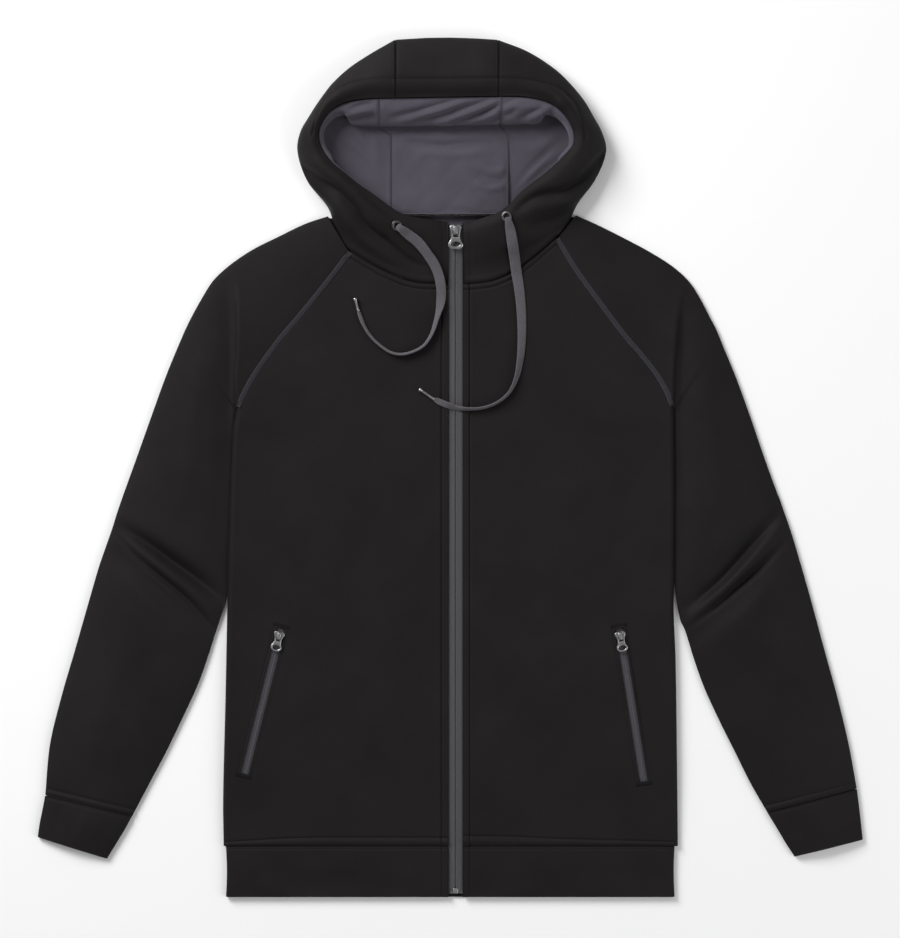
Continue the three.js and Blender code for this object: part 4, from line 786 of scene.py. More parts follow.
def tube_piece(name, side, rows, thickness, creases, material, front_columns, node):
    """A flattened tube cut along its inner seam: front layer, rolled outer edge, back layer on the floor."""
    sign = side["sign"]
    inner, outer, back = rows[:, 0:2], rows[:, 2:4], rows[:, 4:6]
    puff, inner_mid = rows[:, 6:7], rows[:, 7:8]
    width = np.linalg.norm(outer - inner, axis=1, keepdims=True)
    out = (outer - inner) / width
    radius = TUBE_EDGE_RADIUS
    shares = np.concatenate([even(0, 0.06, 6)[:-1], even(0.06, 1, front_columns - 5)])[None, :]
    distance = shares * (width - radius)
    x = inner[:, 0:1] + out[:, 0:1] * distance
    y = inner[:, 1:2] + out[:, 1:2] * distance
    rise = puff * np.sin(math.pi * shares) ** 0.7
    above = np.clip((inner_mid - SIDE_SEAM_MID) / (FRONT_MID - SIDE_SEAM_MID), 0, 1)
    fold = side_puff(side, x, y) * above
    z = mix(inner_mid, 2 * radius - thickness / 2, shares) + rise + fold
    quiet = np.sin(math.pi * np.clip(shares, 0, 1)) ** 0.5
    soft = relief(sign * x, y, creases) + 0.4 * swell(sign * x, y, 90, 11) + 0.12 * swell(sign * x, y, 26, 12)
    z = z + soft * quiet
    z = z + groove(x, y, raglan_at(side, even(0, 1, 24)), 0.3, 3.0) * above + cuff_press(side, x, y)
    columns = [np.stack([sign * x, y, z], axis=2)]
    half = thickness / 2
    edge = []
    for degrees in (70, 45, 22, 0, -22, -45, -70):
        angle = math.radians(degrees)
        r = radius - half
        at = inner + out * (width - radius + r * math.cos(angle))
        z = np.full(len(at), radius + r * math.sin(angle))
        edge.append(np.stack([sign * at[:, 0], at[:, 1], z], axis=1))
    columns.append(np.stack(edge, axis=1))
    start = inner + out * (width - radius)
    under = even(0, 1, 9)[None, :, None]
    flat = start[:, None, :] * (1 - under) + back[:, None, :] * under
    columns.append(np.dstack([sign * flat[..., 0], flat[..., 1], np.full(flat.shape[:2], half)]))
    mid = np.concatenate(columns, axis=1)
    return cloth_piece(name, mid, thickness, sign * 1.0, material, (node,))


def sleeve(name):
    side = SIDES[name]
    table = sleeve_table(side)
    last = len(table) - 1
    place = np.concatenate([even(0, 0.3, 5)[:-1], even(0.3, last - 0.25, 205)[:-1], even(last - 0.25, last, 9)])
    rows = smooth(table, place / last)
    seam = len(RAGLAN_STEPS) - 1
    on_raglan = place < seam
    share = lookup([(k, step) for k, step in enumerate(RAGLAN_STEPS)], place[on_raglan])
    exact = raglan_at(side, share)
    way = np.gradient(exact, axis=0)
    way /= np.linalg.norm(way, axis=1)[:, None]
    blend = ease(0, 0.6, place[on_raglan])[:, None]
    exact = exact + np.stack([-way[:, 1], way[:, 0]], axis=1) * 0.4
    rows[on_raglan, 0:2] = mix(rows[on_raglan, 0:2], exact, blend)
    rows[on_raglan, 7] = mix(FRONT_MID, SIDE_SEAM_MID, ease(seam - 0.8, seam, place[on_raglan]))
    rows[~on_raglan, 7] = SIDE_SEAM_MID
    free = (~on_raglan) & (rows[:, 1] > -150)
    rows[free, 0] = np.maximum(rows[free, 0], side_x(side, rows[free, 1]) + 0.7)
    rows[free, 4] = rows[free, 0]
    return tube_piece(f"sleeve_{name}_cloth", side, rows, CLOTH, SLEEVE_CREASES, SHELL_CLOTH, 76,
                      f"sleeve_{name}")


CUFF_CREASES = [
    (-0.8, 5, 7, [(-362, -372), (-372, -390), (-380, -404)]),
    (0.7, 7, 7, [(-384, -362), (-394, -380), (-402, -398)]),
    (-0.8, 6, 6, [(-414, -352), (-418, -370), (-422, -390)]),
    (-0.8, 6, 5, [(352, -368), (364, -386), (370, -402)]),
    (0.7, 7, 7, [(374, -356), (384, -374), (390, -392)]),
    (-0.8, 6, 6, [(402, -346), (408, -364), (410, -388)]),
]


def cuff(name):
    side = SIDES[name]
    table = np.array([[a, b, c, d, a, b, puff, RIB * 1.5 + SEAM_GAP] for a, b, c, d, puff in side["cuff"]])
    rows = smooth(table, np.concatenate([even(0, 0.1, 6)[:-1], even(0.1, 1, 26)]))
    return tube_piece(f"cuff_{name}_cloth", side, rows, RIB, CUFF_CREASES, BAND_CLOTH, 64,
                      f"cuff_{name}")


# Waistband

BAND_SIDE = {"right": 241.2, "left": 230.2}
BAND_CREASES = [
    (0.7, 16, 10, [(-190, -412), (-140, -420), (-90, -414)]),
    (-0.6, 12, 12, [(-170, -440), (-110, -436), (-50, -442)]),
    (0.7, 14, 10, [(50, -414), (100, -420), (150, -413)]),
    (-0.7, 10, 12, [(196, -404), (206, -424), (222, -442)]),
    (0.6, 12, 12, [(-226, -404), (-214, -424), (-208, -444)]),
]


def waistband():
    radius = 3.0
    half = RIB / 2
    columns = []
    for sign, width in ((-1, BAND_SIDE["right"]), (1, BAND_SIDE["left"])):
        placket_x = [even(FRONT_EDGE_X, 12.6, 5), even(13.2, 17.2, 8)]
        flat_x = np.concatenate([*placket_x, even(19, width - radius, 62)])
        flat = [(sign * x, 2 * radius - half) for x in flat_x]
        turn = [(sign * (width - radius + (radius - half) * math.cos(math.radians(a))),
                 radius + (radius - half) * math.sin(math.radians(a))) for a in (65, 40, 15, -15, -40, -65)]
        columns.append(flat + turn)
    under = [(x, half) for x in even(-(BAND_SIDE["right"] - radius), BAND_SIDE["left"] - radius, 40)]
    across = np.array(columns[0] + under + columns[1][::-1])
    rows = np.concatenate([even(0, 0.1, 7)[:-1], even(0.1, 0.93, 24)[:-1], even(0.93, 1, 7)])
    y = mix(HEM_SEAM_Y - SEAM_GAP / 2, HEM_Y, rows)[:, None] + 0 * across[None, :, 0]
    x = across[None, :, 0] * (1 - 0.004 * np.sin(math.pi * rows))[:, None]
    z = across[None, :, 1] + 0 * y
    top = z > radius
    side_fade = ease(0, 18, np.where(x < 0, BAND_SIDE["right"] + x, BAND_SIDE["left"] - x))
    soft = relief(x, y, BAND_CREASES) + 0.25 * swell(x, y, 60, 21) + 0.14 * swell(x, y * 0.5, 22, 22)
    line = [(-250, HEM_SEAM_Y - 0.1), (0, HEM_SEAM_Y - 0.1), (250, HEM_SEAM_Y - 0.1)]
    lower = [(-250, HEM_LOWER_Y), (0, HEM_LOWER_Y), (250, HEM_LOWER_Y)]
    press = groove(x, y, line, 1.0, 1.3) + groove(x, y, lower, 0.6, 0.9)
    for sign in (-1, 1):
        edge = [(sign * PLACKET_STITCH_X, edge_y) for edge_y in (HEM_Y - 4, -420, -380)]
        press += groove(x, y, edge, 0.8, 0.9)
    quiet = ease(7, 24, np.abs(x)) * side_fade * ease(HEM_Y, HEM_Y + 8, y)
    z = z + np.where(top, soft * quiet + press, 0)
    mid = np.stack([x, y, z], axis=2)
    return cloth_piece("waistband_cloth", mid, RIB, 1.0, BAND_CLOTH, ("waistband",))


# Hood

# Height, widths and line of the hood's folds, seen from above.
HOOD_CREASES = [
    # right side of the garment: two deep folds from the outline down to the zip, with rolls between them
    (-6.0, 4.5, 6.5, [(-172, 320), (-154, 309), (-140, 299), (-121, 287), (-105, 270), (-95, 254), (-83, 244),
                      (-66, 236)]),
    (2.6, 7, 7, [(-160, 328), (-140, 314), (-120, 300), (-100, 280), (-84, 262), (-66, 252)]),
    (-4.0, 4, 6, [(-104, 266), (-88, 246), (-69, 233), (-48, 217), (-30, 210)]),
    (2.2, 6, 7, [(-144, 286), (-122, 266), (-106, 250), (-90, 236), (-72, 224), (-46, 212)]),
    (-1.9, 3, 4, [(-100, 286), (-87, 279), (-69, 265), (-54, 257)]),
    (-1.6, 5, 7, [(-70, 262), (-58, 240), (-40, 226), (-22, 220)]),
    # left side
    (-6.0, 6, 4, [(166, 336), (153, 324), (145, 317), (136, 306), (125, 297), (117, 292), (104, 288),
                  (91, 286),
                  (78, 281), (60, 266)]),
    (2.2, 7, 7, [(152, 338), (134, 320), (116, 306), (98, 299), (80, 294)]),
    (2.2, 6, 7, [(142, 298), (126, 284), (106, 277), (86, 272), (66, 260)]),
    (-2.2, 5, 6, [(126, 274), (110, 262), (92, 256), (74, 250)]),
    (-1.8, 5, 6, [(112, 254), (94, 240), (74, 232), (50, 226)]),
    (1.5, 6, 6, [(104, 250), (86, 240), (64, 232), (40, 236)]),
    # roof
    (0.9, 14, 12, [(-60, 436), (0, 441), (50, 437)]),
    (-1.0, 10, 12, [(-44, 432), (-10, 424), (30, 416)]),
    (-0.9, 9, 10, [(-108, 400), (-96, 416), (-74, 430)]),
    (-0.9, 9, 10, [(96, 400), (84, 416), (66, 430)]),
]
CASING_LINE = [(-122, 397), (-112, 402), (-97, 406), (-50, 407), (5, 407), (71, 407), (90, 404), (108, 397),
               (118, 389)]
CASING_ENDS = {"right": [(-122, 397), (-133, 388), (-141, 376), (-147, 362), (-150, 348)],
               "left": [(118, 389), (126, 380), (131, 368), (134, 355), (135, 342)]}


def hood_side(name):
    side, sign = SIDES[name], SIDES[name]["sign"]
    rows = HOOD[name]
    keys = np.array([[row[k] for k in range(5)] for row in rows], float)
    keys[:4, 4, 1] += NECK_GAP
    stations = 132
    shares = even(0, 1, stations)
    tracks = np.stack([smooth(keys[:, k], shares) for k in range(5)], axis=1)
    seam_x = rows[-1][4][0]
    tracks[-1, :, 0] += SEAM_CLOSE
    steps = np.concatenate([even(0, 0.06, 7)[:-1], even(0.06, 1, 62)])
    mid = np.stack([smooth(track, steps) for track in tracks])
    mid[..., 2] = np.maximum(mid[..., 2], FLOOR_MID)
    late = (mid[..., 2] <= NEAR_FLOOR) | (shares[:, None] > 0.55)
    mid[..., 0] = np.where(late, np.maximum(np.abs(mid[..., 0]), seam_x + SEAM_CLOSE), mid[..., 0])
    mid[..., 0] *= sign
    normal = grid_normals(mid, -sign)
    x, y = mid[..., 0], mid[..., 1]
    facing = ease(0.15, 0.6, normal[..., 2])
    ends = ease(0, 0.03, steps)[None, :] * ease(0, 0.05, 1 - steps)[None, :]
    soft = relief(x, y, HOOD_CREASES) + 0.45 * swell(x, y, 60, 31) + 0.15 * swell(x, y, 22, 32)
    seam = ease(0, 0.06, 1 - shares)[:, None] * ease(0, 0.03, shares)[:, None]
    press = np.zeros_like(x)
    for line in (CASING_LINE, CASING_ENDS[name]):
        press += groove(x, y, line, 1.3, 1.3)
        press += crease_height(x, y, 1.3, 6.5, 6.5, offset_line(line, -8.5), taper=False)
    neck = front_neck_line(side) * (sign, 1)
    press += groove(x, y, neck, 1.2, 1.5)
    press += crease_height(x, y, 0.8, 2.8, 2.8, offset_line(neck, 4.0 * sign), taper=False)
    press += groove(x, y, [(sign * PLACKET_STITCH_X, 180), (sign * PLACKET_STITCH_X, 220),
                           (sign * PLACKET_STITCH_X, 262)], 0.8, 0.9)
    press += groove(x, y, [(sign * seam_x, 380), (sign * seam_x, 415), (sign * seam_x, 452)], 0.8, 1.2)
    mid = mid + normal * ((soft * ends * seam + press) * facing)[..., None]
    mid[..., 2] = np.maximum(mid[..., 2], FLOOR_MID)
    return cloth_piece(f"hood_{name}_cloth", mid, CLOTH, sign, SHELL_CLOTH, (f"hood_{name}",))


def hood_centre():
    columns = 44
    right, left = (np.array(HOOD[name][-1][:5], float) for name in ("right", "left"))
    share = even(0, 1, columns)
    arch = np.sin(math.pi * share)
    a = right * (-1, 1, 1) + (SEAM_CLOSE, 0, 0)
    b = left - (SEAM_CLOSE, 0, 0)
    lines = []
    steps = np.concatenate([even(0, 0.06, 7)[:-1], even(0.06, 1, 60)])
    for k in range(columns):
        key = mix(a, b, share[k])
        x = key[0, 0]
        points = [key[0], key[1], (x, mix(key[2, 1], HOOD_TOP_Y, arch[k]), key[2, 2]),
                  (x, key[3, 1] + 1.5 * arch[k], key[3, 2]), (x, 432, FLOOR_MID)]
        roof = smooth(points, steps)
        roof[:, 2] = np.maximum(roof[:, 2], FLOOR_MID)
        tail = np.array([(x, y, FLOOR_MID) for y in even(424, BACK_NECK_Y, 24)])
        lines.append(np.vstack([roof, tail]))
    mid = np.stack(lines)
    normal = grid_normals(mid, 1)
    x, y = mid[..., 0], mid[..., 1]
    facing = ease(0.15, 0.6, normal[..., 2])
    soft = relief(x, y, HOOD_CREASES) + 0.45 * swell(x, y, 60, 31) + 0.15 * swell(x, y, 22, 32)
    edge = ease(0, 5, x - x[0:1]) * ease(0, 5, x[-1:] - x)
    press = groove(x, y, CASING_LINE, 1.3, 1.3)
    press += crease_height(x, y, 1.3, 6.5, 6.5, offset_line(CASING_LINE, -8.5), taper=False)
    for seam_x in (x[0, 0], x[-1, 0]):
        press += groove(x, y, [(seam_x, 380), (seam_x, 415), (seam_x, 452)], 0.8, 1.2)
    rim = np.ones(mid.shape[1])
    rim[:7] = ease(0, 6, np.arange(7))
    mid = mid + normal * ((soft * edge * rim + press) * facing)[..., None]
    mid[..., 2] = np.maximum(mid[..., 2], FLOOR_MID)
    return cloth_piece("hood_centre_cloth", mid, CLOTH, -1, SHELL_CLOTH, ("hood_centre",))


# Lining of the hood

LINING_CREASES = [
    # diagonal wrinkles of the roll under the roof, rising to the left side of the garment
    (-1.5, 3.5, 3, [(-72, 366), (-50, 371), (-24, 378), (4, 386)]),
    (1.2, 3.5, 3.5, [(-60, 364), (-34, 370), (-6, 379), (16, 386)]),
    (-1.8, 3.5, 3, [(-44, 364), (-14, 369), (14, 378), (38, 386)]),
    (1.4, 4, 3.5, [(-22, 363), (6, 369), (32, 378), (50, 385)]),
    (-2.0, 3.5, 3, [(-6, 363), (22, 370), (44, 379), (62, 386)]),
    (1.2, 3.5, 3, [(14, 363), (38, 370), (58, 378)]),
    (-1.4, 3, 3, [(34, 364), (50, 369), (66, 376)]),
    (-1.6, 3, 3.5, [(66, 366), (78, 372), (94, 376)]),
    (1.3, 3.5, 3.5, [(74, 366), (88, 372), (102, 380)]),
    (-1.6, 4, 4, [(-122, 360), (-108, 366), (-92, 368), (-80, 366)]),
    (-1.2, 3.5, 3.5, [(-112, 374), (-98, 380), (-84, 381)]),
    (1.2, 4, 4, [(-116, 366), (-102, 372), (-86, 374)]),
    # lying on the back of the hood
    (0.9, 5, 5, [(-60, 350), (-20, 346), (30, 349)]),
    (-0.8, 4, 5, [(-52, 342), (-8, 338), (44, 342)]),
    (0.8, 6, 5, [(-40, 332), (0, 330), (40, 334)]),
    (-0.9, 3.5, 4, [(-98, 352), (-92, 336), (-94, 318), (-84, 300)]),
    (1.0, 4.5, 4, [(-90, 354), (-83, 336), (-84, 318), (-76, 302)]),
    (0.9, 4, 4, [(-112, 344), (-96, 330), (-88, 316)]),
    (-0.8, 3, 3, [(-108, 309), (-92, 308), (-76, 309)]),
    (1.0, 4, 4, [(106, 330), (86, 316), (66, 294), (58, 284)]),
    (-0.9, 3.5, 4, [(98, 332), (78, 314), (62, 296)]),
    (0.8, 4, 4, [(104, 344), (84, 338), (62, 340)]),
    (-0.8, 4, 4, [(98, 350), (76, 347), (58, 350)]),
    (0.8, 4, 5, [(24, 318), (40, 311), (58, 316)]),
    (-0.7, 4, 4, [(22, 308), (40, 300), (56, 305)]),
    (0.8, 4, 4, [(20, 300), (36, 294), (52, 296)]),
    (-0.8, 3.5, 3, [(-34, 261), (0, 269), (32, 261)]),
]
LINING_DIMPLE = (-91, 294, 5.5, -1.6)  # x, y, radius and height of a small dent beside the seam


def lining_seam_x(name):
    return HOOD[name][-1][4][0] + LINING_SEAM_SHIFT[name]


def lining_rows(name):
    """The hood's sections as the lining has them: their ends on its own neck edge and back seam."""
    rows, last = [], len(HOOD[name]) - 1
    for k, row in enumerate(HOOD[name]):
        keys = [list(row[n]) for n in range(5)]
        x, y, z = keys[4]
        if k < FIRST_BACK_ROW:
            in_neck = LINING_IN_NECK if k <= LAST_NECK_ROW else row[8]
            keys[4] = [x - (LINING_NECK_SHIFT if row[8] else 0), y + in_neck, z]
        else:
            share = (k - FIRST_BACK_ROW) / (last - FIRST_BACK_ROW)
            keys[4] = [lining_seam_x(name), mix(*LINING_BACK_FOOT, share), z]
        if k == last:
            keys[0][0] = LINING_ROOF_SEAM[name]
        start = TAPE_HALF + 1 if k == 0 else 0
        rows.append(([(max(x, start), y, z) for x, y, z in keys], *row[5:9]))
    return rows


def lining_points(sign, keys, turn, band, inset, neck_inset):
    """Seven points across the lining: close under the shell, or rolled round the opening to the back."""
    shell = np.array(keys, float) * (sign, 1, 1)
    near_end = (shell[3] + shell[4]) / 2
    close = np.array([shell[0], shell[1], shell[2], shell[3], near_end, near_end, shell[4]])
    for k in range(7):
        share = inset * math.sin(math.pi * (k + 0.5) / 7)
        close[k, 0] = mix(close[k, 0], OPENING_CENTRE[0], share)
        close[k, 1] = mix(close[k, 1], OPENING_CENTRE[1], share)
        close[k, 2] = max(close[k, 2] - LINING_UNDER, LINING_FLOOR_MID)
    close[5] = (close[4] + close[6]) / 2
    rim = shell[0]
    towards = np.array(OPENING_CENTRE) - rim[:2]
    way = mix(towards / np.linalg.norm(towards), np.array([0.0, -1.0]), float(ease(*ROOF_BAND, band)))

    def inside(distance, z):
        return (rim[0] + way[0] * distance, rim[1] + way[1] * distance, z)

    tucked = np.array([
        inside(0.5, rim[2] - 2.2), inside(band * 0.45, rim[2] - 3.4), inside(band, 13), inside(band - 3, 8),
        inside(band - 6, 5.4), inside(band + 1, LINING_FLOOR_MID),
        (shell[4, 0], shell[4, 1], LINING_FLOOR_MID + (LINING_LIFT if neck_inset else 0))])
    return mix(close, tucked, turn)


def lining_relief(mid, normal, edge):
    x, y = mid[..., 0], mid[..., 1]
    facing = ease(0.1, 0.5, np.abs(normal[..., 2]))
    soft = LINING_CREASE_DEPTH * relief(x, y, LINING_CREASES)
    soft = soft + 0.4 * swell(x, y, 44, 41) + 0.15 * swell(x, y, 16, 42)
    dent_x, dent_y, radius, height = LINING_DIMPLE
    soft += height * np.exp(-((x - dent_x) ** 2 + (y - dent_y) ** 2) / radius**2)
    return (soft + LINING_LOFT) * facing * edge


def lift_lining(mid, edge):
    normal = grid_normals(mid, 1)
    up = np.sign(normal[..., 2:3]) * normal
    mid = mid + up * lining_relief(mid, normal, edge)[..., None]
    mid[..., 2] = np.maximum(mid[..., 2], LINING_FLOOR_MID)
    return mid


def lining_side(name):
    sign = SIDES[name]["sign"]
    table = lining_rows(name)
    rows = np.array([lining_points(sign, *row) for row in table])
    stations = 126
    shares = even(0, 1, stations)
    tracks = np.stack([smooth(rows[:, k], shares) for k in range(7)], axis=1)
    tracks[-1, :, 0] += sign * SEAM_CLOSE
    steps = even(0, 1, 84)
    mid = np.stack([smooth(track, steps) for track in tracks])
    mid[..., 2] = np.maximum(mid[..., 2], LINING_FLOOR_MID)
    mid[:, -1, 0] = sign * np.maximum(sign * mid[:, -1, 0], lining_seam_x(name) + SEAM_CLOSE)
    turn = lookup([(k, row[1]) for k, row in enumerate(table)], shares * (len(rows) - 1))
    edge = (ease(0, 0.06, steps) * ease(0, 0.1, 1 - steps))[None, :] * (0.25 + 0.75 * turn)[:, None]
    facing = ease(0.1, 0.5, np.abs(grid_normals(mid, 1)[..., 2]))
    mid = lift_lining(mid, edge * ease(0, 0.03, 1 - shares)[:, None] * ease(0, 0.05, shares)[:, None])
    under_folds = np.minimum(relief(mid[..., 0], mid[..., 1], HOOD_CREASES), 0)
    mid[..., 2] += FOLD_SINK * under_folds * facing * ease(0, 0.4, 1 - turn)[:, None]
    mid[..., 2] = np.maximum(mid[..., 2], LINING_FLOOR_MID)
    return cloth_piece(f"lining_{name}_cloth", mid, LINING, sign, LINING_CLOTH, (f"lining_{name}",))


def lining_centre():
    columns = 64
    right, left = (lining_points(SIDES[name]["sign"], *lining_rows(name)[-1]) for name in ("right", "left"))
    gap = np.array([SEAM_CLOSE, 0, 0])
    share = even(0, 1, columns)
    lines = []
    for t in share:
        points = mix(right + gap, left - gap, t)
        fold = smooth(points, even(0, 1, 76))
        fold[:, 2] = np.maximum(fold[:, 2], LINING_FLOOR_MID)
        x = points[-1, 0]
        tail_y = even(LINING_BACK_FOOT[1] - 2, BACK_NECK_Y + 0.3, 52)
        tail = np.array([(x, y, LINING_FLOOR_MID) for y in tail_y])
        lines.append(np.vstack([fold, tail]))
    mid = np.stack(lines)
    steps = even(0, 1, mid.shape[1])
    sides = ease(0, 0.05, share) * ease(0, 0.05, 1 - share)
    mid = lift_lining(mid, (ease(0, 0.04, steps) * ease(0, 0.02, 1 - steps))[None, :] * sides[:, None])
    return cloth_piece("lining_centre_cloth", mid, LINING, -1, LINING_CLOTH, ("lining_centre",))


CLOTH_PIECES = {}
for name in ("right", "left"):
    CLOTH_PIECES[f"front_{name}"] = front_panel(name)
    CLOTH_PIECES[f"sleeve_{name}"] = sleeve(name)
    CLOTH_PIECES[f"cuff_{name}"] = cuff(name)
    CLOTH_PIECES[f"hood_{name}"] = hood_side(name)
    CLOTH_PIECES[f"lining_{name}"] = lining_side(name)
CLOTH_PIECES["back_panel"] = back_panel()
CLOTH_PIECES["waistband"] = waistband()
CLOTH_PIECES["hood_centre"] = hood_centre()
CLOTH_PIECES["lining_centre"] = lining_centre()

# The surface that stitches and cords lie on

def surface_tree(pieces):
    points, faces = [], []
    for piece in pieces:
        start = len(points)
        points += [tuple(v.co) for v in piece.data.vertices]
        faces += [tuple(start + k for k in face.vertices) for face in piece.data.polygons]
    return BVHTree.FromPolygons(points, faces)


SURFACE = surface_tree(CLOTH_PIECES.values())


def surface_at(x, y, start=80.0):
    """The first cloth under a point, in millimetres, and its normal."""
    hit = SURFACE.ray_cast(Vector((x, y, start)) * MM, Vector((0, 0, -1)))
    if hit[0] is None:
        return None
    normal = hit[1] if hit[1].z > 0 else -hit[1]
    return np.array(hit[0]) / MM, np.array(normal)


def swept(name, line, normals, profile, material, closed=False, replaces=()):
    """A strip of one cross-section along a line. The profile is (across, up) points round the section."""
    line, normals = np.asarray(line, float), np.asarray(normals, float)
    count, sides = len(line), len(profile)
    way = np.gradient(line, axis=0) if not closed else np.roll(line, -1, 0) - np.roll(line, 1, 0)
    way /= np.linalg.norm(way, axis=1)[:, None]
    across = np.cross(normals, way)
    across /= np.linalg.norm(across, axis=1)[:, None]
    up = np.cross(way, across)
    points = (line[:, None] + across[:, None] * np.array(profile)[None, :, :1]
              + up[:, None] * np.array(profile)[None, :, 1:]).reshape(-1, 3)
    faces = []
    for k in range(count if closed else count - 1):
        n = (k + 1) % count
        for m in range(sides):
            o = (m + 1) % sides
            faces.append((k * sides + m, k * sides + o, n * sides + o, n * sides + m))
    if not closed:
        faces.append(tuple(range(sides))[::-1])
        faces.append(tuple(range((count - 1) * sides, count * sides)))
    along = np.concatenate([[0], np.cumsum(np.linalg.norm(np.diff(line, axis=0), axis=1))])
    uv = np.stack([np.tile([p[0] for p in profile], count), np.repeat(along, sides)], axis=1)
    return new_piece(name, points, faces, material, uv, replaces)


# Stitches

def joined_copies(shape, faces, frames):
    """One mesh of many copies of a small shape, each with its place and its three axes."""
    shape = np.asarray(shape)
    points, all_faces = [], []
    for k, (place, axes) in enumerate(frames):
        points.append(shape @ axes + place)
        all_faces += [tuple(n + k * len(shape) for n in face) for face in faces]
    return np.vstack(points), all_faces


def bead(length, radius, sides=6, rings=4, flat=0.7):
    """A small rounded stitch along X."""
    points, faces = [], []
    for k in range(rings):
        t = (k + 0.5) / rings
        x = (t - 0.5) * length
        r = radius * math.sin(math.pi * t) ** 0.5
        for n in range(sides):
            a = 2 * math.pi * n / sides
            points.append((x, r * math.cos(a), r * math.sin(a) * flat))
    for k in range(rings - 1):
        for n in range(sides):
            m = (n + 1) % sides
            faces.append((k * sides + n, k * sides + m, (k + 1) * sides + m, (k + 1) * sides + n))
    faces.append(tuple(range(sides))[::-1])
    faces.append(tuple(range((rings - 1) * sides, rings * sides)))
    return points, faces


def walk(line, pitch):
    """Evenly spaced places along a line, with its way there."""
    line = np.asarray(line, float)
    steps = np.linalg.norm(np.diff(line, axis=0), axis=1)
    along = np.concatenate([[0], np.cumsum(steps)])
    spots = np.arange(pitch / 2, along[-1], pitch)
    x, y = np.interp(spots, along, line[:, 0]), np.interp(spots, along, line[:, 1])
    ways = np.stack([np.gradient(x), np.gradient(y)], axis=1)
    return np.stack([x, y], axis=1), ways / np.linalg.norm(ways, axis=1)[:, None]


def stitch_frames(line, pitch, turn=0.0, lift=0.05, start=80.0):
    """Places and axes of stitches along a line, each lying on the cloth under it."""
    frames = []
    for spot, way in zip(*walk(line, pitch)):
        found = surface_at(*spot, start)
        if found is None:
            continue
        place, normal = found
        along = np.array([*way, 0.0])
        along -= normal * (along @ normal)
        along /= np.linalg.norm(along)
        side = np.cross(normal, along)
        a = math.radians(turn)
        along, side = along * math.cos(a) + side * math.sin(a), side * math.cos(a) - along * math.sin(a)
        frames.append((place + normal * lift, np.array([along, side, normal])))
    return frames


def stitch_piece(name, frames, length, radius, material):
    points, faces = joined_copies(*bead(length, radius), frames)
    return new_piece(name, points, faces, material)


def mirrored(line, sign):
    return np.asarray(line, float)[:, :2] * (sign, 1)


STITCH_PITCH = 3.0
STITCH_LENGTH = 2.5


def shell_stitches():
    frames = []
    for name, side in SIDES.items():
        sign = side["sign"]
        neck = front_neck_line(side)
        lines = [
            offset_line(neck, -NECK_STITCH),
            offset_line(neck, 1.6)[2:],
            smooth([(PLACKET_STITCH_X, y) for y in (HEM_Y + 1.5, -100, 250)], even(0, 1, 20)),
        ]
        frames += [f for line in lines for f in stitch_frames(mirrored(line, sign), STITCH_PITCH)]
        width = BAND_SIDE[name]
        frames += stitch_frames(mirrored(smooth(HEM_STITCH[name], even(0, 0.985, 30)), sign), STITCH_PITCH)
        frames += stitch_frames([(sign * 8.5, HEM_LOWER_Y), (sign * (width - 3), HEM_LOWER_Y)], STITCH_PITCH)
        seam_x = sign * HOOD[name][-1][4][0]
        for shift in (-1.4, 1.4):
            frames += stitch_frames([(seam_x + shift, 409), (seam_x + shift, 444)], STITCH_PITCH)
        frames += stitch_frames(offset_line(CASING_ENDS[name], 0), STITCH_PITCH)
        frames += cuff_stitches(side)
    frames += stitch_frames(offset_line(CASING_LINE, 0), STITCH_PITCH)
    return stitch_piece("stitching_shell", frames, STITCH_LENGTH, 0.3, SHELL_THREAD)


def cuff_stitches(side):
    frames = []
    for above in (CUFF_STITCH, -1.6):
        line = cuff_seam_line(side, above) * (side["sign"], 1)
        line = mix(line[0], line[1], even(0.03, 0.97, 20)[:, None])
        frames += stitch_frames(line, STITCH_PITCH)
    return frames


RAGLAN_BAND = [(-2.7, -0.3), (-2.5, 0.12), (-1.3, 0.3), (0, 0.36), (1.3, 0.3), (2.5, 0.12), (2.7, -0.3),
               (0, -0.4)]
STITCH_FLOOR = 2.0  # no stitch of the front lies lower


def raglan_stitches():
    """A flat cover seam over each raglan seam: a band of thread, two rows beside it and a zigzag on it."""
    frames, cross = [], []
    for name, side in SIDES.items():
        sign = side["sign"]
        seam = raglan_at(side, even(0.01, 0.985, 110))
        for offset in (-1.7, 1.7):
            frames += stitch_frames(mirrored(offset_line(seam, offset), sign), 2.6, lift=0.3)
        for turn in (58, -58):
            cross += stitch_frames(mirrored(offset_line(seam, 0), sign), 2.6, turn=turn, lift=0.38)
        line, normals = [], []
        for x, y in mirrored(seam, sign):
            beside_seam = [surface_at(x + dx, y) for dx in (-2, 2)]
            line.append((x, y, max(found[0][2] for found in beside_seam if found) + 0.05))
            normals.append(np.mean([found[1] for found in beside_seam if found], axis=0))
        line = np.array(line)
        line[:, 2] = np.convolve(np.pad(line[:, 2], 2, "edge"), np.ones(5) / 5, "valid")
        swept(f"raglan_band_{name}", line, normals, RAGLAN_BAND, RAGLAN_COVER)
    frames, cross = ([f for f in found if f[0][2] > STITCH_FLOOR] for found in (frames, cross))
    stitch_piece("stitching_raglan", frames, 2.4, 0.34, RAGLAN_THREAD)
    stitch_piece("stitching_raglan_cover", cross, 5.0, 0.22, RAGLAN_THREAD)


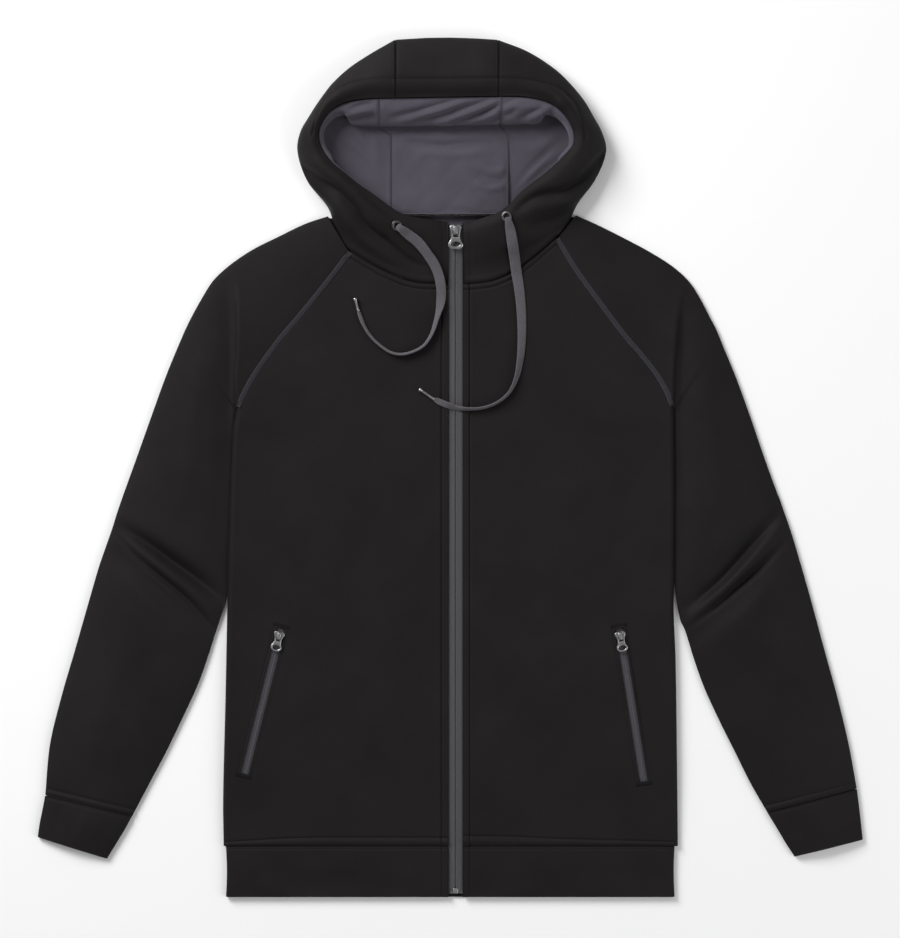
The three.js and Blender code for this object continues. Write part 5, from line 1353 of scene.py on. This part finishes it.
def lining_stitches():
    frames = []
    for name, side in SIDES.items():
        back_x, roof_x = side["sign"] * lining_seam_x(name), side["sign"] * LINING_ROOF_SEAM[name]
        for shift in (-1.3, 1.3):
            frames += stitch_frames([(back_x + shift, 268), (back_x + shift, 352)], STITCH_PITCH, start=12.0)
            frames += stitch_frames([(roof_x + shift, 360), (roof_x + shift, 384)], STITCH_PITCH)
    return stitch_piece("stitching_lining", frames, STITCH_LENGTH, 0.25, LINING_THREAD)


shell_stitches()
raglan_stitches()
lining_stitches()

# Zips

ZIP_EDGE = [(-460, 4.9), (-400, 4.9), (-370, 5.6), (150, 5.6), (194, 5.5), (209, 7), (226, 10.2), (247, 13.6),
            (258, 12)]
ZIP_ENDS = (-447, 255.5)
TOOTH_PITCH = 1.45


def tape_mid(y):
    return lookup(ZIP_EDGE, y) - TAPE_UNDER


def zip_tape(name):
    side, sign = SIDES[name], SIDES[name]["sign"]
    y = even(*ZIP_ENDS, 170)[:, None]
    outer = np.where(y > 235, 9.0, TAPE_HALF)
    share = np.concatenate([even(0, 0.34, 14)[:-1], even(0.34, 1, 8)])[None, :]
    x = 0.45 + (outer - 0.45) * share
    wave = 0.35 * np.sin(y / 17.0) * np.exp(-(((y - 180) / 60) ** 2))
    bead_rise = 0.42 * np.exp(-(((x - 1.7) / 0.9) ** 2)) + 0.12 * np.exp(-(((x - 4.6) / 0.5) ** 2))
    z = tape_mid(y) + bead_rise + 0 * x
    mid = np.stack([sign * (x + 0 * y) + wave * (x < 7), y + 0 * x, z], axis=2)
    return cloth_piece(f"zip_tape_{name}_woven", mid, TAPE, -sign, TAPE_CLOTH, (f"zip_tape_{name}",))


def zip_teeth():
    """The coil that holds the two tapes together, one loop from each side in turn."""
    frames = []
    for k, y in enumerate(np.arange(ZIP_ENDS[0] + 8, ZIP_ENDS[1] - 14, TOOTH_PITCH / 2)):
        sign = 1 if k % 2 else -1
        z = float(tape_mid(y)) + 0.1
        axes = np.array([(1, 0.12 * sign, 0), (-0.12 * sign, 1, 0), (0, 0, 1)])
        frames.append((np.array([sign * 0.45, y, z]), axes))
    points, faces = joined_copies(*bead(2.6, 0.52, flat=1.0), frames)
    return new_piece("zip_coil", points, faces, TOOTH_PLASTIC)


POCKET = {"right": ((183, -167), (222, -322)), "left": ((171.5, -167), (197.5, -330))}
WINDOW_WIDTH = 10.4
POCKET_TAPE_HALF = 10
POCKET_TAPE_DROP = CLOTH / 2 + 0.5 + TAPE / 2


def pocket_place(name, along, across):
    """Points of a pocket zip: along its length from the top, and across it, as distances from the zip line."""
    top, bottom = (np.array(p, float) for p in POCKET[name])
    down = (bottom - top) / np.linalg.norm(bottom - top)
    x = top[0] + down[0] * along - down[1] * across
    y = top[1] + down[1] * along + down[0] * across
    return x, y


def pocket_length(name):
    top, bottom = (np.array(p, float) for p in POCKET[name])
    return float(np.linalg.norm(bottom - top))


def cut_window(name):
    """The slanted opening in a front that its pocket zip shows through."""
    piece, sign = CLOTH_PIECES[f"front_{name}"], SIDES[name]["sign"]
    length, half = pocket_length(name), WINDOW_WIDTH / 2
    corners = [pocket_place(name, a, c) for a, c in ((0, -half), (0, half), (length, half), (length, -half))]
    corners = np.array(corners) * (sign * MM, MM)
    centre = corners.mean(axis=0)
    reach = np.abs(corners - centre).max(axis=0) + 12 * MM
    mesh = bmesh.new()
    mesh.from_mesh(piece.data)

    def near_window():
        found = []
        for face in mesh.faces:
            middle = face.calc_center_median()
            if abs(middle.x - centre[0]) < reach[0] and abs(middle.y - centre[1]) < reach[1]:
                found.append((face, np.array(middle[:2])))
        return found

    borders = []
    for a, b in zip(corners, np.roll(corners, -1, axis=0)):
        out = np.array([b[1] - a[1], a[0] - b[0]])
        borders.append((a, out if out @ (a - centre) > 0 else -out))
    for a, out in borders:
        faces = [face for face, _ in near_window()]
        edges = {edge for face in faces for edge in face.edges}
        points = {point for face in faces for point in face.verts}
        bmesh.ops.bisect_plane(mesh, geom=[*faces, *edges, *points], dist=1e-7,
                               plane_co=(a[0], a[1], 0), plane_no=(out[0], out[1], 0))
    inside = [face for face, middle in near_window() if all((middle - a) @ out < 0 for a, out in borders)]
    bmesh.ops.delete(mesh, geom=inside, context="FACES")
    open_edges = [edge for edge in mesh.edges if edge.is_boundary]
    bmesh.ops.bridge_loops(mesh, edges=open_edges)
    mesh.to_mesh(piece.data)
    mesh.free()


def pocket_zip(name):
    side, sign = SIDES[name], SIDES[name]["sign"]
    length = pocket_length(name)
    along = even(-9, length + 9, 60)[:, None]
    across = np.concatenate([even(-POCKET_TAPE_HALF, -0.25, 14), even(0.25, POCKET_TAPE_HALF, 14)])[None, :]
    x, y = pocket_place(name, along + 0 * across, across + 0 * along)
    rise = 0.4 * np.exp(-(((np.abs(across) - 1.6) / 0.9) ** 2)) - 0.5 * np.exp(-((across / 0.4) ** 2))
    z = front_mid(side, x, y) - POCKET_TAPE_DROP + rise
    mid = np.stack([sign * x, y, z], axis=2)
    tape = cloth_piece(f"pocket_tape_{name}_woven", mid, TAPE, 1.0, POCKET_TAPE_CLOTH,
                       (f"pocket_tape_{name}",))
    # The folded lips of the window, one closed ring of a narrow rounded fold.
    half, round_corner = WINDOW_WIDTH / 2 + 0.3, 1.2
    ring = []
    spans = [((0, -half), (length, -half)), ((length, -half), (length, half)), ((length, half), (0, half)),
             ((0, half), (0, -half))]
    for (a0, c0), (a1, c1) in spans:
        size = math.hypot(a1 - a0, c1 - c0)
        inset = round_corner / size
        for t in even(inset, 1 - inset, max(4, int(size / 2.5))):
            ring.append((mix(a0, a1, t), mix(c0, c1, t)))
    line = []
    for a, c in ring:
        x, y = pocket_place(name, a, c)
        line.append((sign * x, y, float(front_mid(side, x, y)) + CLOTH / 2 - 0.25))
    section = [(1.25 * math.cos(t), 0.75 * math.sin(t)) for t in even(0, 2 * math.pi, 11)[:-1]]
    swept(f"pocket_lip_{name}", line, [(0, 0, 1)] * len(line), section, SHELL_CLOTH, closed=True)
    return tape


def pocket_details(name):
    """Coil, stitches round the window and the bar tacks at its ends."""
    side, sign = SIDES[name], SIDES[name]["sign"]
    length, half = pocket_length(name), WINDOW_WIDTH / 2
    coil, stitches, tacks = [], [], []
    (x0, y0), (x1, y1) = pocket_place(name, 0, 0), pocket_place(name, length, 0)
    down = np.array([sign * (x1 - x0), y1 - y0, 0.0]) / math.hypot(x1 - x0, y1 - y0)
    side_way = np.array([-down[1], down[0], 0.0])
    for k, along in enumerate(np.arange(15, length - 1, TOOTH_PITCH / 2)):
        x, y = pocket_place(name, along, 0)
        z = float(front_mid(side, x, y)) - POCKET_TAPE_DROP - 0.2
        shift = side_way * (0.35 if k % 2 else -0.35)
        coil.append((np.array([sign * x, y, z]) + shift, np.array([side_way, -down, (0, 0, 1)])))
    for c in (-half - 3.0, half + 3.0):
        line = [pocket_place(name, a, c) for a in even(-2, length + 2, 30)]
        stitches += stitch_frames(mirrored(line, sign), STITCH_PITCH)
    for end, shift in ((0, -1.6), (length, 1.6)):
        for row in (-0.8, 0.0, 0.8):
            line = [pocket_place(name, end + shift + row, c) for c in even(-half - 3.4, half + 3.4, 8)]
            tacks += stitch_frames(mirrored(line, sign), 0.62, turn=82, lift=0.3)
    points, faces = joined_copies(*bead(2.2, 0.5, flat=1.0), coil)
    new_piece(f"pocket_coil_{name}", points, faces, TOOTH_PLASTIC)
    stitch_piece(f"pocket_stitching_{name}", stitches, STITCH_LENGTH, 0.28, SHELL_THREAD)
    stitch_piece(f"pocket_tacks_{name}", tacks, 2.0, 0.34, SHELL_THREAD)


for name in SIDES:
    zip_tape(name)
    pocket_zip(name)
    pocket_details(name)
    cut_window(name)
zip_teeth()

# Drawcords

CORD_ROUTES = {
    "right": [(-60.5, 253, 30), (-58.5, 251, 31.8), (-55, 248.5, 31.5), (-49, 244, 27.5), (-39, 236, 23),
              (-30, 225, 18.2), (-22, 213, 13.2), (-17, 200, 10), (-15, 187, 9.2), (-16, 172, 9), (-20, 156, 8.6),
              (-25, 141, 8.3), (-33, 129, 8.2), (-44, 122.5, 8.2), (-56, 119.5, 8.2), (-67, 121, 8.2),
              (-77, 127, 8.2), (-86, 135, 8.2), (-93, 144, 8.2), (-98, 154, 8.2), (-102, 165, 8.2)],
    "left": [(54.5, 262, 32.2), (55, 259, 32.4), (56, 254.5, 31.2), (57.5, 248, 27.6), (59.5, 236, 22.6),
             (62, 220, 14.4), (64, 205, 9), (66.5, 190, 8.3), (68.5, 172, 8.2), (69.5, 154, 8.2), (69.5, 135, 8.2),
             (68, 115, 8.2), (64, 95, 8.2), (56, 79, 8.2), (44, 69, 8.2), (30, 63.5, 8.3), (16, 62, 9.1),
             (2, 63, 9.3), (-11, 67, 9.3), (-23, 72.5, 8.5)],
}
TIP_ENDS = {"right": (-106, 179.5, 8.4), "left": (-39, 83.5, 8.4)}
# Share of the length, width, thickness and lean of the flat cord, in degrees from lying flat.
CORD_FORM = {
    "right": [(0, 6.0, 2.8, 0), (0.05, 10.4, 2.3, 4), (0.18, 11.2, 2.1, 8), (0.34, 10.4, 2.1, 24), (0.46, 9.2, 2.1, 48),
              (0.58, 7.6, 2.2, 72), (0.72, 7.2, 2.3, 78), (0.9, 6.6, 2.4, 72), (0.97, 5.2, 2.8, 50),
              (1, 3.2, 2.9, 30)],
    "left": [(0, 6.0, 2.8, 0), (0.05, 10.4, 2.3, 4), (0.16, 11.4, 2.1, -6), (0.34, 10.6, 2.1, -16),
             (0.5, 9.2, 2.1, -24), (0.6, 8.4, 2.1, -50), (0.7, 7.4, 2.2, -74), (0.86, 7.0, 2.2, -70),
             (0.94, 7.6, 2.2, -34), (0.98, 6.4, 2.4, -22), (1, 3.2, 2.9, -10)],
}
CORD_STATIONS = 220
CORD_SIDES = 20


def cord_piece(name):
    route = np.array(CORD_ROUTES[name], float)
    path = smooth(route, even(0, 1, 400))
    along = np.concatenate([[0], np.cumsum(np.linalg.norm(np.diff(path, axis=0), axis=1))])
    shares = even(0, 1, CORD_STATIONS)
    line = np.stack([np.interp(shares * along[-1], along, path[:, k]) for k in range(3)], axis=1)
    form = lookup(CORD_FORM[name], shares)
    ground = [surface_at(x, y) for x, y, _ in line]
    height = np.array([g[0][2] for g in ground])
    normal = np.array([g[1] for g in ground])
    blur = np.hanning(15)
    blur /= blur.sum()
    pad = len(blur) // 2
    padded = [np.pad(normal[:, k], pad, "edge") for k in range(3)]
    normal = np.stack([np.convolve(column, blur, "valid") for column in padded], axis=1)
    normal /= np.linalg.norm(normal, axis=1)[:, None]
    way = np.gradient(line, axis=0)
    way /= np.linalg.norm(way, axis=1)[:, None]
    flat = np.cross(normal, way)
    flat /= np.linalg.norm(flat, axis=1)[:, None]
    up = np.cross(way, flat)
    lean = np.radians(form[:, 2])[:, None]
    across = flat * np.cos(lean) + up * np.sin(lean)
    out = np.cross(way, across)
    angles = even(0, 2 * math.pi, CORD_SIDES + 1)[:-1]
    c, s = np.cos(angles), np.sin(angles)
    ring = np.stack([np.sign(c) * np.abs(c) ** 0.75, np.sign(s) * np.abs(s) ** 0.8], axis=1)
    half = np.stack([form[:, 0], form[:, 1]], axis=1)[:, None, :] / 2 * ring[None]
    offsets = across[:, None] * half[..., :1] + out[:, None] * half[..., 1:]
    needed = np.full(CORD_STATIONS, -1e9)
    for k in range(CORD_STATIONS):
        for offset in offsets[k, ::2]:
            x, y = line[k, 0] + offset[0], line[k, 1] + offset[1]
            found = surface_at(x, y)
            if found is not None:
                needed[k] = max(needed[k], found[0][2] + 0.25 - offset[2])
    wide = np.array([needed[max(0, k - 3):k + 4].max() for k in range(CORD_STATIONS)])
    lifted = np.convolve(np.pad(wide, pad, "edge"), blur, "valid")
    lifted = np.maximum(lifted, needed)
    free = ease(0.0, 0.07, shares)
    line[:, 2] = mix(np.maximum(line[:, 2] - 0.6, 0), lifted, free)
    points = (line[:, None] + offsets).reshape(-1, 3)
    faces = []
    for k in range(CORD_STATIONS - 1):
        for m in range(CORD_SIDES):
            o = (m + 1) % CORD_SIDES
            a, b = k * CORD_SIDES, (k + 1) * CORD_SIDES
            faces.append((a + m, a + o, b + o, b + m))
    faces.append(tuple(range(CORD_SIDES))[::-1])
    faces.append(tuple(range((CORD_STATIONS - 1) * CORD_SIDES, CORD_STATIONS * CORD_SIDES)))
    uv = np.stack([np.tile(ring[:, 0] * 5.0, CORD_STATIONS), np.repeat(shares * along[-1], CORD_SIDES)], axis=1)
    piece = new_piece(f"drawcord_{name}_braid", points, faces, CORD_CLOTH, uv, (f"drawcord_{name}",))
    tip = cord_tip(name, line[-1], way[-1])
    return piece


def lathe(name, profile, place, axis, material, replaces, steps=40):
    """A turned piece: profile rows are (distance along the axis, radius)."""
    turn = Vector((0, 0, 1)).rotation_difference(Vector(axis))
    points, faces = [], []
    for z, r in profile:
        for k in range(steps):
            a = 2 * math.pi * k / steps
            points.append(np.array(turn @ Vector((r * math.cos(a), r * math.sin(a), z))) + place)
    rows = len(profile)
    closed = profile[0] == profile[-1]
    for j in range(rows - 1):
        for k in range(steps):
            n = (k + 1) % steps
            faces.append((j * steps + k, j * steps + n, (j + 1) * steps + n, (j + 1) * steps + k))
    if closed:
        points = points[:-steps]
        faces = [tuple(p % ((rows - 1) * steps) for p in face) for face in faces]
    else:
        faces.append(tuple(range(steps))[::-1])
        faces.append(tuple(range((rows - 1) * steps, rows * steps)))
    return new_piece(name, points, faces, material, None, replaces)


def cord_tip(name, start, way):
    """Metal tip: crimped on the cord, a slim barrel and a rounded knob."""
    end = np.array(TIP_ENDS[name], float)
    axis = end - start
    length = float(np.linalg.norm(axis))
    axis /= length
    profile = [(0.0, 1.2), (0.05, 1.75), (1.2, 1.9), (2.2, 1.75), (3.0, 1.55), (length * 0.72, 1.5),
               (length - 3.4, 1.7), (length - 2.6, 2.3), (length - 1.4, 2.45), (length - 0.5, 2.0), (length - 0.05, 1.1)]
    return lathe(f"cord_tip_{name}_metal", profile, start - axis * 0.6, axis, HARDWARE,
                 (f"cord_tip_{name}",), 28)


# Eyelets

EYELET_SPOTS = {"right": (2.02, 0.30), "left": (2.05, 0.22)}  # place among the hood's sections, share of one


def eyelet(name):
    """A rolled metal ring pressed into the collar where its cord comes out."""
    keys = np.array([[row[k] for k in range(5)] for row in HOOD[name]], float)
    station, share = EYELET_SPOTS[name]

    def spot(s, t):
        tracks = np.array([smooth(keys[:, k], [s / (len(keys) - 1)])[0] for k in range(5)])
        return smooth(tracks * (SIDES[name]["sign"], 1, 1), [t])[0]

    place = spot(station, share)
    normal = np.cross(spot(station + 0.1, share) - spot(station - 0.1, share),
                      spot(station, share + 0.02) - spot(station, share - 0.02))
    normal /= np.linalg.norm(normal) * (1 if normal[2] > 0 else -1)
    profile = []
    for degrees in range(0, 361, 24):
        a = math.radians(degrees)
        profile.append((0.75 + 0.72 * math.sin(a), 4.1 + 1.45 * math.cos(a)))
    profile[-1] = profile[0]
    return lathe(f"eyelet_{name}_ring", profile, place + normal * (CLOTH / 2 + 0.4), normal, EYELET_METAL,
                 (f"eyelet_{name}",), 48)


for name in SIDES:
    eyelet(name)
    cord_piece(name)

# Sliders, pulls and the zip's stop

MAIN_SLIDER = dict(plate=12.8, length=10.4, thick=1.6, foot=9, bridge=4.4, tunnel=2.4)
POCKET_SLIDER = dict(plate=11.6, length=9, thick=1.0, foot=8.6, bridge=3.8, tunnel=2.2)
MAIN_SLIDER_Y = 249.6
SLIDER_OVER_TAPE = 0.7
POCKET_GAP = 0.5
POCKET_SLIDER_DOWN = 9.5
TILTS = {"main": 5, "pocket": 3}  # degrees that a pull slopes down to the cloth
# Outlines from the top to the foot: distance down and half width.
SLIDER_OUTLINE = [(-0.5, 0), (-0.5, 0.30), (-0.44, 0.44), (-0.28, 0.5), (-0.05, 0.44), (0.2, 0.36), (0.42, 0.34),
                  (0.5, 0.26), (0.5, 0)]
MAIN_PULL = dict(bar=0.75, span=10.2, leg=1.9, neck=8.0, reach=20, thick=1.2, hole=(14.9, 2.75, 5.2),
                 legs=[(-0.6, 4.3), (1.5, 4.25), (4.5, 3.7), (8.6, 3.75)],
                 outline=[(7.6, 0), (7.6, 4.5), (9.4, 4.8), (11.4, 5.7), (13.2, 7.0), (14.8, 7.8), (16.4, 7.7),
                          (18.0, 6.9), (19.3, 5.4), (20, 3.2), (20, 0)])
POCKET_PULL = dict(bar=0.7, span=8.4, leg=1.6, neck=6.2, reach=16.5, thick=1.1, hole=(12.4, 2.6, 4.0),
                   legs=[(-0.6, 3.5), (1.5, 3.4), (4.0, 3.0), (6.8, 3.1)],
                   outline=[(5.8, 0), (5.8, 3.7), (7.4, 3.8), (9.2, 4.5), (10.8, 5.5), (12.4, 5.9), (14.0, 5.5),
                            (15.4, 4.4), (16.2, 2.8), (16.5, 1.4), (16.5, 0)])


def closed_outline(half, count):
    """Even points round an outline given as its right half, as (x, y) with y up."""
    half = np.array(half, float)
    back = half[::-1]
    ring = np.vstack([np.column_stack([half[:, 1], -half[:, 0]]), np.column_stack([-back[:, 1], -back[:, 0]])])
    ring = ring[np.concatenate([[True], np.linalg.norm(np.diff(ring, axis=0), axis=1) > 1e-9])]
    steps = np.linalg.norm(np.diff(np.vstack([ring, ring[:1]]), axis=0), axis=1)
    along = np.concatenate([[0], np.cumsum(steps)])
    spots = np.arange(count) / count * along[-1]
    closed = np.vstack([ring, ring[:1]])
    return np.stack([np.interp(spots, along, closed[:, k]) for k in range(2)], axis=1)


def loft(rings, tube=False):
    """Faces between rings of equal length. A tube closes on its first ring, anything else has flat ends."""
    count, rows = len(rings[0]), len(rings)
    faces = []
    for j in range(rows if tube else rows - 1):
        n = (j + 1) % rows
        for k in range(count):
            m = (k + 1) % count
            faces.append((j * count + k, j * count + m, n * count + m, n * count + k))
    if not tube:
        faces.append(tuple(range(count))[::-1])
        faces.append(tuple(range((rows - 1) * count, rows * count)))
    return np.vstack(rings), faces


def flat_ring(outline, z):
    return np.column_stack([outline, np.full(len(outline), z)])


def pillow(outline, low, high, bevel):
    """A plate of one outline with round edges and a slightly crowned top."""
    middle = outline.mean(axis=0)
    rings = []
    for z, pull in ((low, bevel), (low + bevel * 0.5, bevel * 0.2), (low + bevel, 0), (high - bevel, 0),
                    (high - bevel * 0.4, bevel * 0.25), (high, bevel)):
        away = outline - middle
        rings.append(flat_ring(middle + away * (1 - pull / np.linalg.norm(away, axis=1)[:, None]), z))
    for share, more in ((0.7, 0.10), (0.35, 0.16)):
        rings.append(flat_ring(middle + (outline - middle) * share, high + more))
    return loft(rings)


def rod(line, half_width, half_height, sides=12, across=(1, 0, 0)):
    """A rounded bar along a line, flat across one direction."""
    line = np.array(line, float)
    way = np.gradient(line, axis=0)
    way /= np.linalg.norm(way, axis=1)[:, None]
    across = np.array(across, float)
    rings = []
    for place, along in zip(line, way):
        side = across - along * (across @ along)
        side /= np.linalg.norm(side)
        up = np.cross(side, along)
        ring = []
        for a in even(0, 2 * math.pi, sides + 1)[:-1]:
            c, s = math.cos(a), math.sin(a)
            ring.append(place + side * half_width * math.copysign(abs(c) ** 0.6, c)
                        + up * half_height * math.copysign(abs(s) ** 0.6, s))
        rings.append(np.array(ring))
    return loft(rings)


def hardware_piece(name, parts, place, axes, node, body="garment"):
    """Joins parts made in a local frame, X across, Y up the zip and Z off the cloth, at their place."""
    points, faces = [], []
    for part_points, part_faces in parts:
        start = sum(len(p) for p in points)
        points.append(np.array(part_points) @ axes + place)
        faces += [tuple(start + n for n in face) for face in part_faces]
    piece = new_piece(name, np.vstack(points), faces, HARDWARE, None, (node,), body)
    tidy = bmesh.new()
    tidy.from_mesh(piece.data)
    bmesh.ops.recalc_face_normals(tidy, faces=tidy.faces)
    tidy.to_mesh(piece.data)
    tidy.free()
    piece.data.set_sharp_from_angle(angle=math.radians(50))
    return piece


def slider_parts(size):
    """Shield plate with side flanges and the arch that its pull hangs in."""
    half = [(a * size["length"], w * size["plate"]) for a, w in SLIDER_OUTLINE]
    parts = [pillow(closed_outline(half, 56), 0.05, size["thick"], 0.35)]
    foot = [(a * 0.9, w * size["foot"] / size["plate"]) for a, w in half]
    parts.append(pillow(closed_outline(foot, 40), -0.45, 0.2, 0.12))
    reach, top = size["length"] / 2 - 0.9, size["thick"] + size["tunnel"] + 0.5
    arch = [(0, -reach, size["thick"] - 0.3), (0, -reach, top - 1.2), (0, -reach + 0.7, top - 0.25), (0, 0, top + 0.1),
            (0, reach - 0.7, top - 0.1), (0, reach, top - 1.1), (0, reach, size["thick"] - 0.3)]
    parts.append(rod(smooth(arch, even(0, 1, 26)), size["bridge"] / 2, 0.5, 14))
    return parts


def pull_parts(size):
    """Crossbar, two legs and the flared plate with its oval hole."""
    outline = closed_outline(size["outline"], 72)
    down, half_length, half_width = size["hole"]
    angles = np.arctan2((outline[:, 1] + down) / half_length, outline[:, 0] / half_width)
    hole = np.stack([half_width * np.cos(angles), -down + half_length * np.sin(angles)], axis=1)
    half = size["thick"] / 2
    section = [(0.0, -half + 0.2), (0.0, half - 0.15), (0.14, half + 0.05), (0.5, half + 0.16), (0.86, half + 0.02),
               (1.0, half - 0.25), (1.0, -half + 0.2), (0.86, -half), (0.14, -half)]
    parts = [loft([flat_ring(mix(hole, outline, share), z) for share, z in section], tube=True)]
    for sign in (-1, 1):
        line = smooth([(sign * w, -a, 0) for a, w in size["legs"]], even(0, 1, 14))
        parts.append(rod(line, size["leg"] / 2, half, 12))
        bar_end = [(sign * (size["span"] / 2 - t), 0, 0) for t in (0, 0.25, 1.6, 2.0)]
        parts.append(rod(bar_end, size["bar"] + 0.05, size["bar"] + 0.05, 12, (0, 1, 0)))
    parts.append(rod([(x, 0, 0) for x in even(-size["span"] / 2 + 1, size["span"] / 2 - 1, 4)], size["bar"],
                     size["bar"], 12, (0, 1, 0)))
    return parts


def turned(turn, tilt):
    """Rows are the directions of a local frame turned about Z, then sloped down at its foot."""
    ct, st, ci, si = math.cos(turn), math.sin(turn), math.cos(tilt), math.sin(tilt)
    return np.array([(ct, st, 0), (-st * ci, ct * ci, si), (st * si, -ct * si, ci)])


def zip_hardware():
    size = MAIN_SLIDER
    base = np.array([0, MAIN_SLIDER_Y, float(tape_mid(MAIN_SLIDER_Y)) + TAPE / 2 + SLIDER_OVER_TAPE])
    hinge = base + (0, 0, size["thick"] + size["tunnel"] / 2)
    hardware_piece("main_slider_body", slider_parts(size), base, np.eye(3), "main_slider")
    hardware_piece("main_pull_tab", pull_parts(MAIN_PULL), hinge, turned(0, math.radians(TILTS["main"])),
                   "main_pull", "main_pull")
    stop = closed_outline([(-2.6, 0), (-2.6, 1.9), (-1.8, 2.8), (1.8, 2.8), (2.6, 1.9), (2.6, 0)], 32)
    low = TAPE / 2 + SEAM_GAP
    ridges = [rod([(x, -1.9, low + 1.2), (x, 1.9, low + 1.2)], 0.35, 0.25, 8) for x in (-1.5, 1.5)]
    hardware_piece("zip_stop_crimp", [pillow(stop, low, low + 1.2, 0.3), *ridges],
                   np.array([0, -444.0, float(tape_mid(-444))]), np.eye(3), "zip_stop")
    for name, side in SIDES.items():
        size, sign = POCKET_SLIDER, side["sign"]
        x, y = pocket_place(name, POCKET_SLIDER_DOWN, 0)
        place = np.array([sign * x, y, float(front_mid(side, x, y)) + CLOTH / 2 + POCKET_GAP])
        (x0, y0), (x1, y1) = (pocket_place(name, a, 0) for a in (0, 1))
        turn = sign * math.atan2(x1 - x0, y0 - y1)
        hardware_piece(f"pocket_slider_{name}_body", slider_parts(size), place, turned(turn, 0),
                       f"pocket_slider_{name}")
        hardware_piece(f"pocket_pull_{name}_tab", pull_parts(POCKET_PULL),
                       place + (0, 0, size["thick"] + size["tunnel"] / 2),
                       turned(turn, math.radians(TILTS["pocket"])), f"pocket_pull_{name}", f"pocket_pull_{name}")


zip_hardware()

# Floor and light

def make_stage():
    mesh = bpy.data.meshes.new("floor")
    half = 6.0
    mesh.from_pydata([(-half, -half, -0.0004), (half, -half, -0.0004), (half, half, -0.0004), (-half, half, -0.0004)],
                     [], [(0, 1, 2, 3)])
    floor = bpy.data.objects.new("floor", mesh)
    material, tree, shader = node_material("pale_floor")
    shader.inputs["Base Color"].default_value = (0.93, 0.93, 0.935, 1)
    shader.inputs["Roughness"].default_value = 0.9
    mesh.materials.append(material)
    bpy.context.scene.collection.objects.link(floor)
    world = bpy.data.worlds.new("studio")
    world.use_nodes = True
    world.node_tree.nodes["Background"].inputs["Color"].default_value = (1, 1, 1, 1)
    world.node_tree.nodes["Background"].inputs["Strength"].default_value = 0.32
    bpy.context.scene.world = world
    for label, place, size, power in (("key", (-1.9, 1.9, 1.9), 1.6, 116), ("fill", (2.2, -1.0, 1.6), 1.8, 28)):
        data = bpy.data.lights.new(label, "AREA")
        data.shape, data.size, data.energy = "SQUARE", size, power
        lamp = bpy.data.objects.new(label, data)
        lamp.location = place
        lamp.rotation_euler = (-Vector(place)).to_track_quat("-Z", "Y").to_euler()
        bpy.context.scene.collection.objects.link(lamp)
    bpy.context.scene.view_settings.view_transform = "Standard"


make_stage()
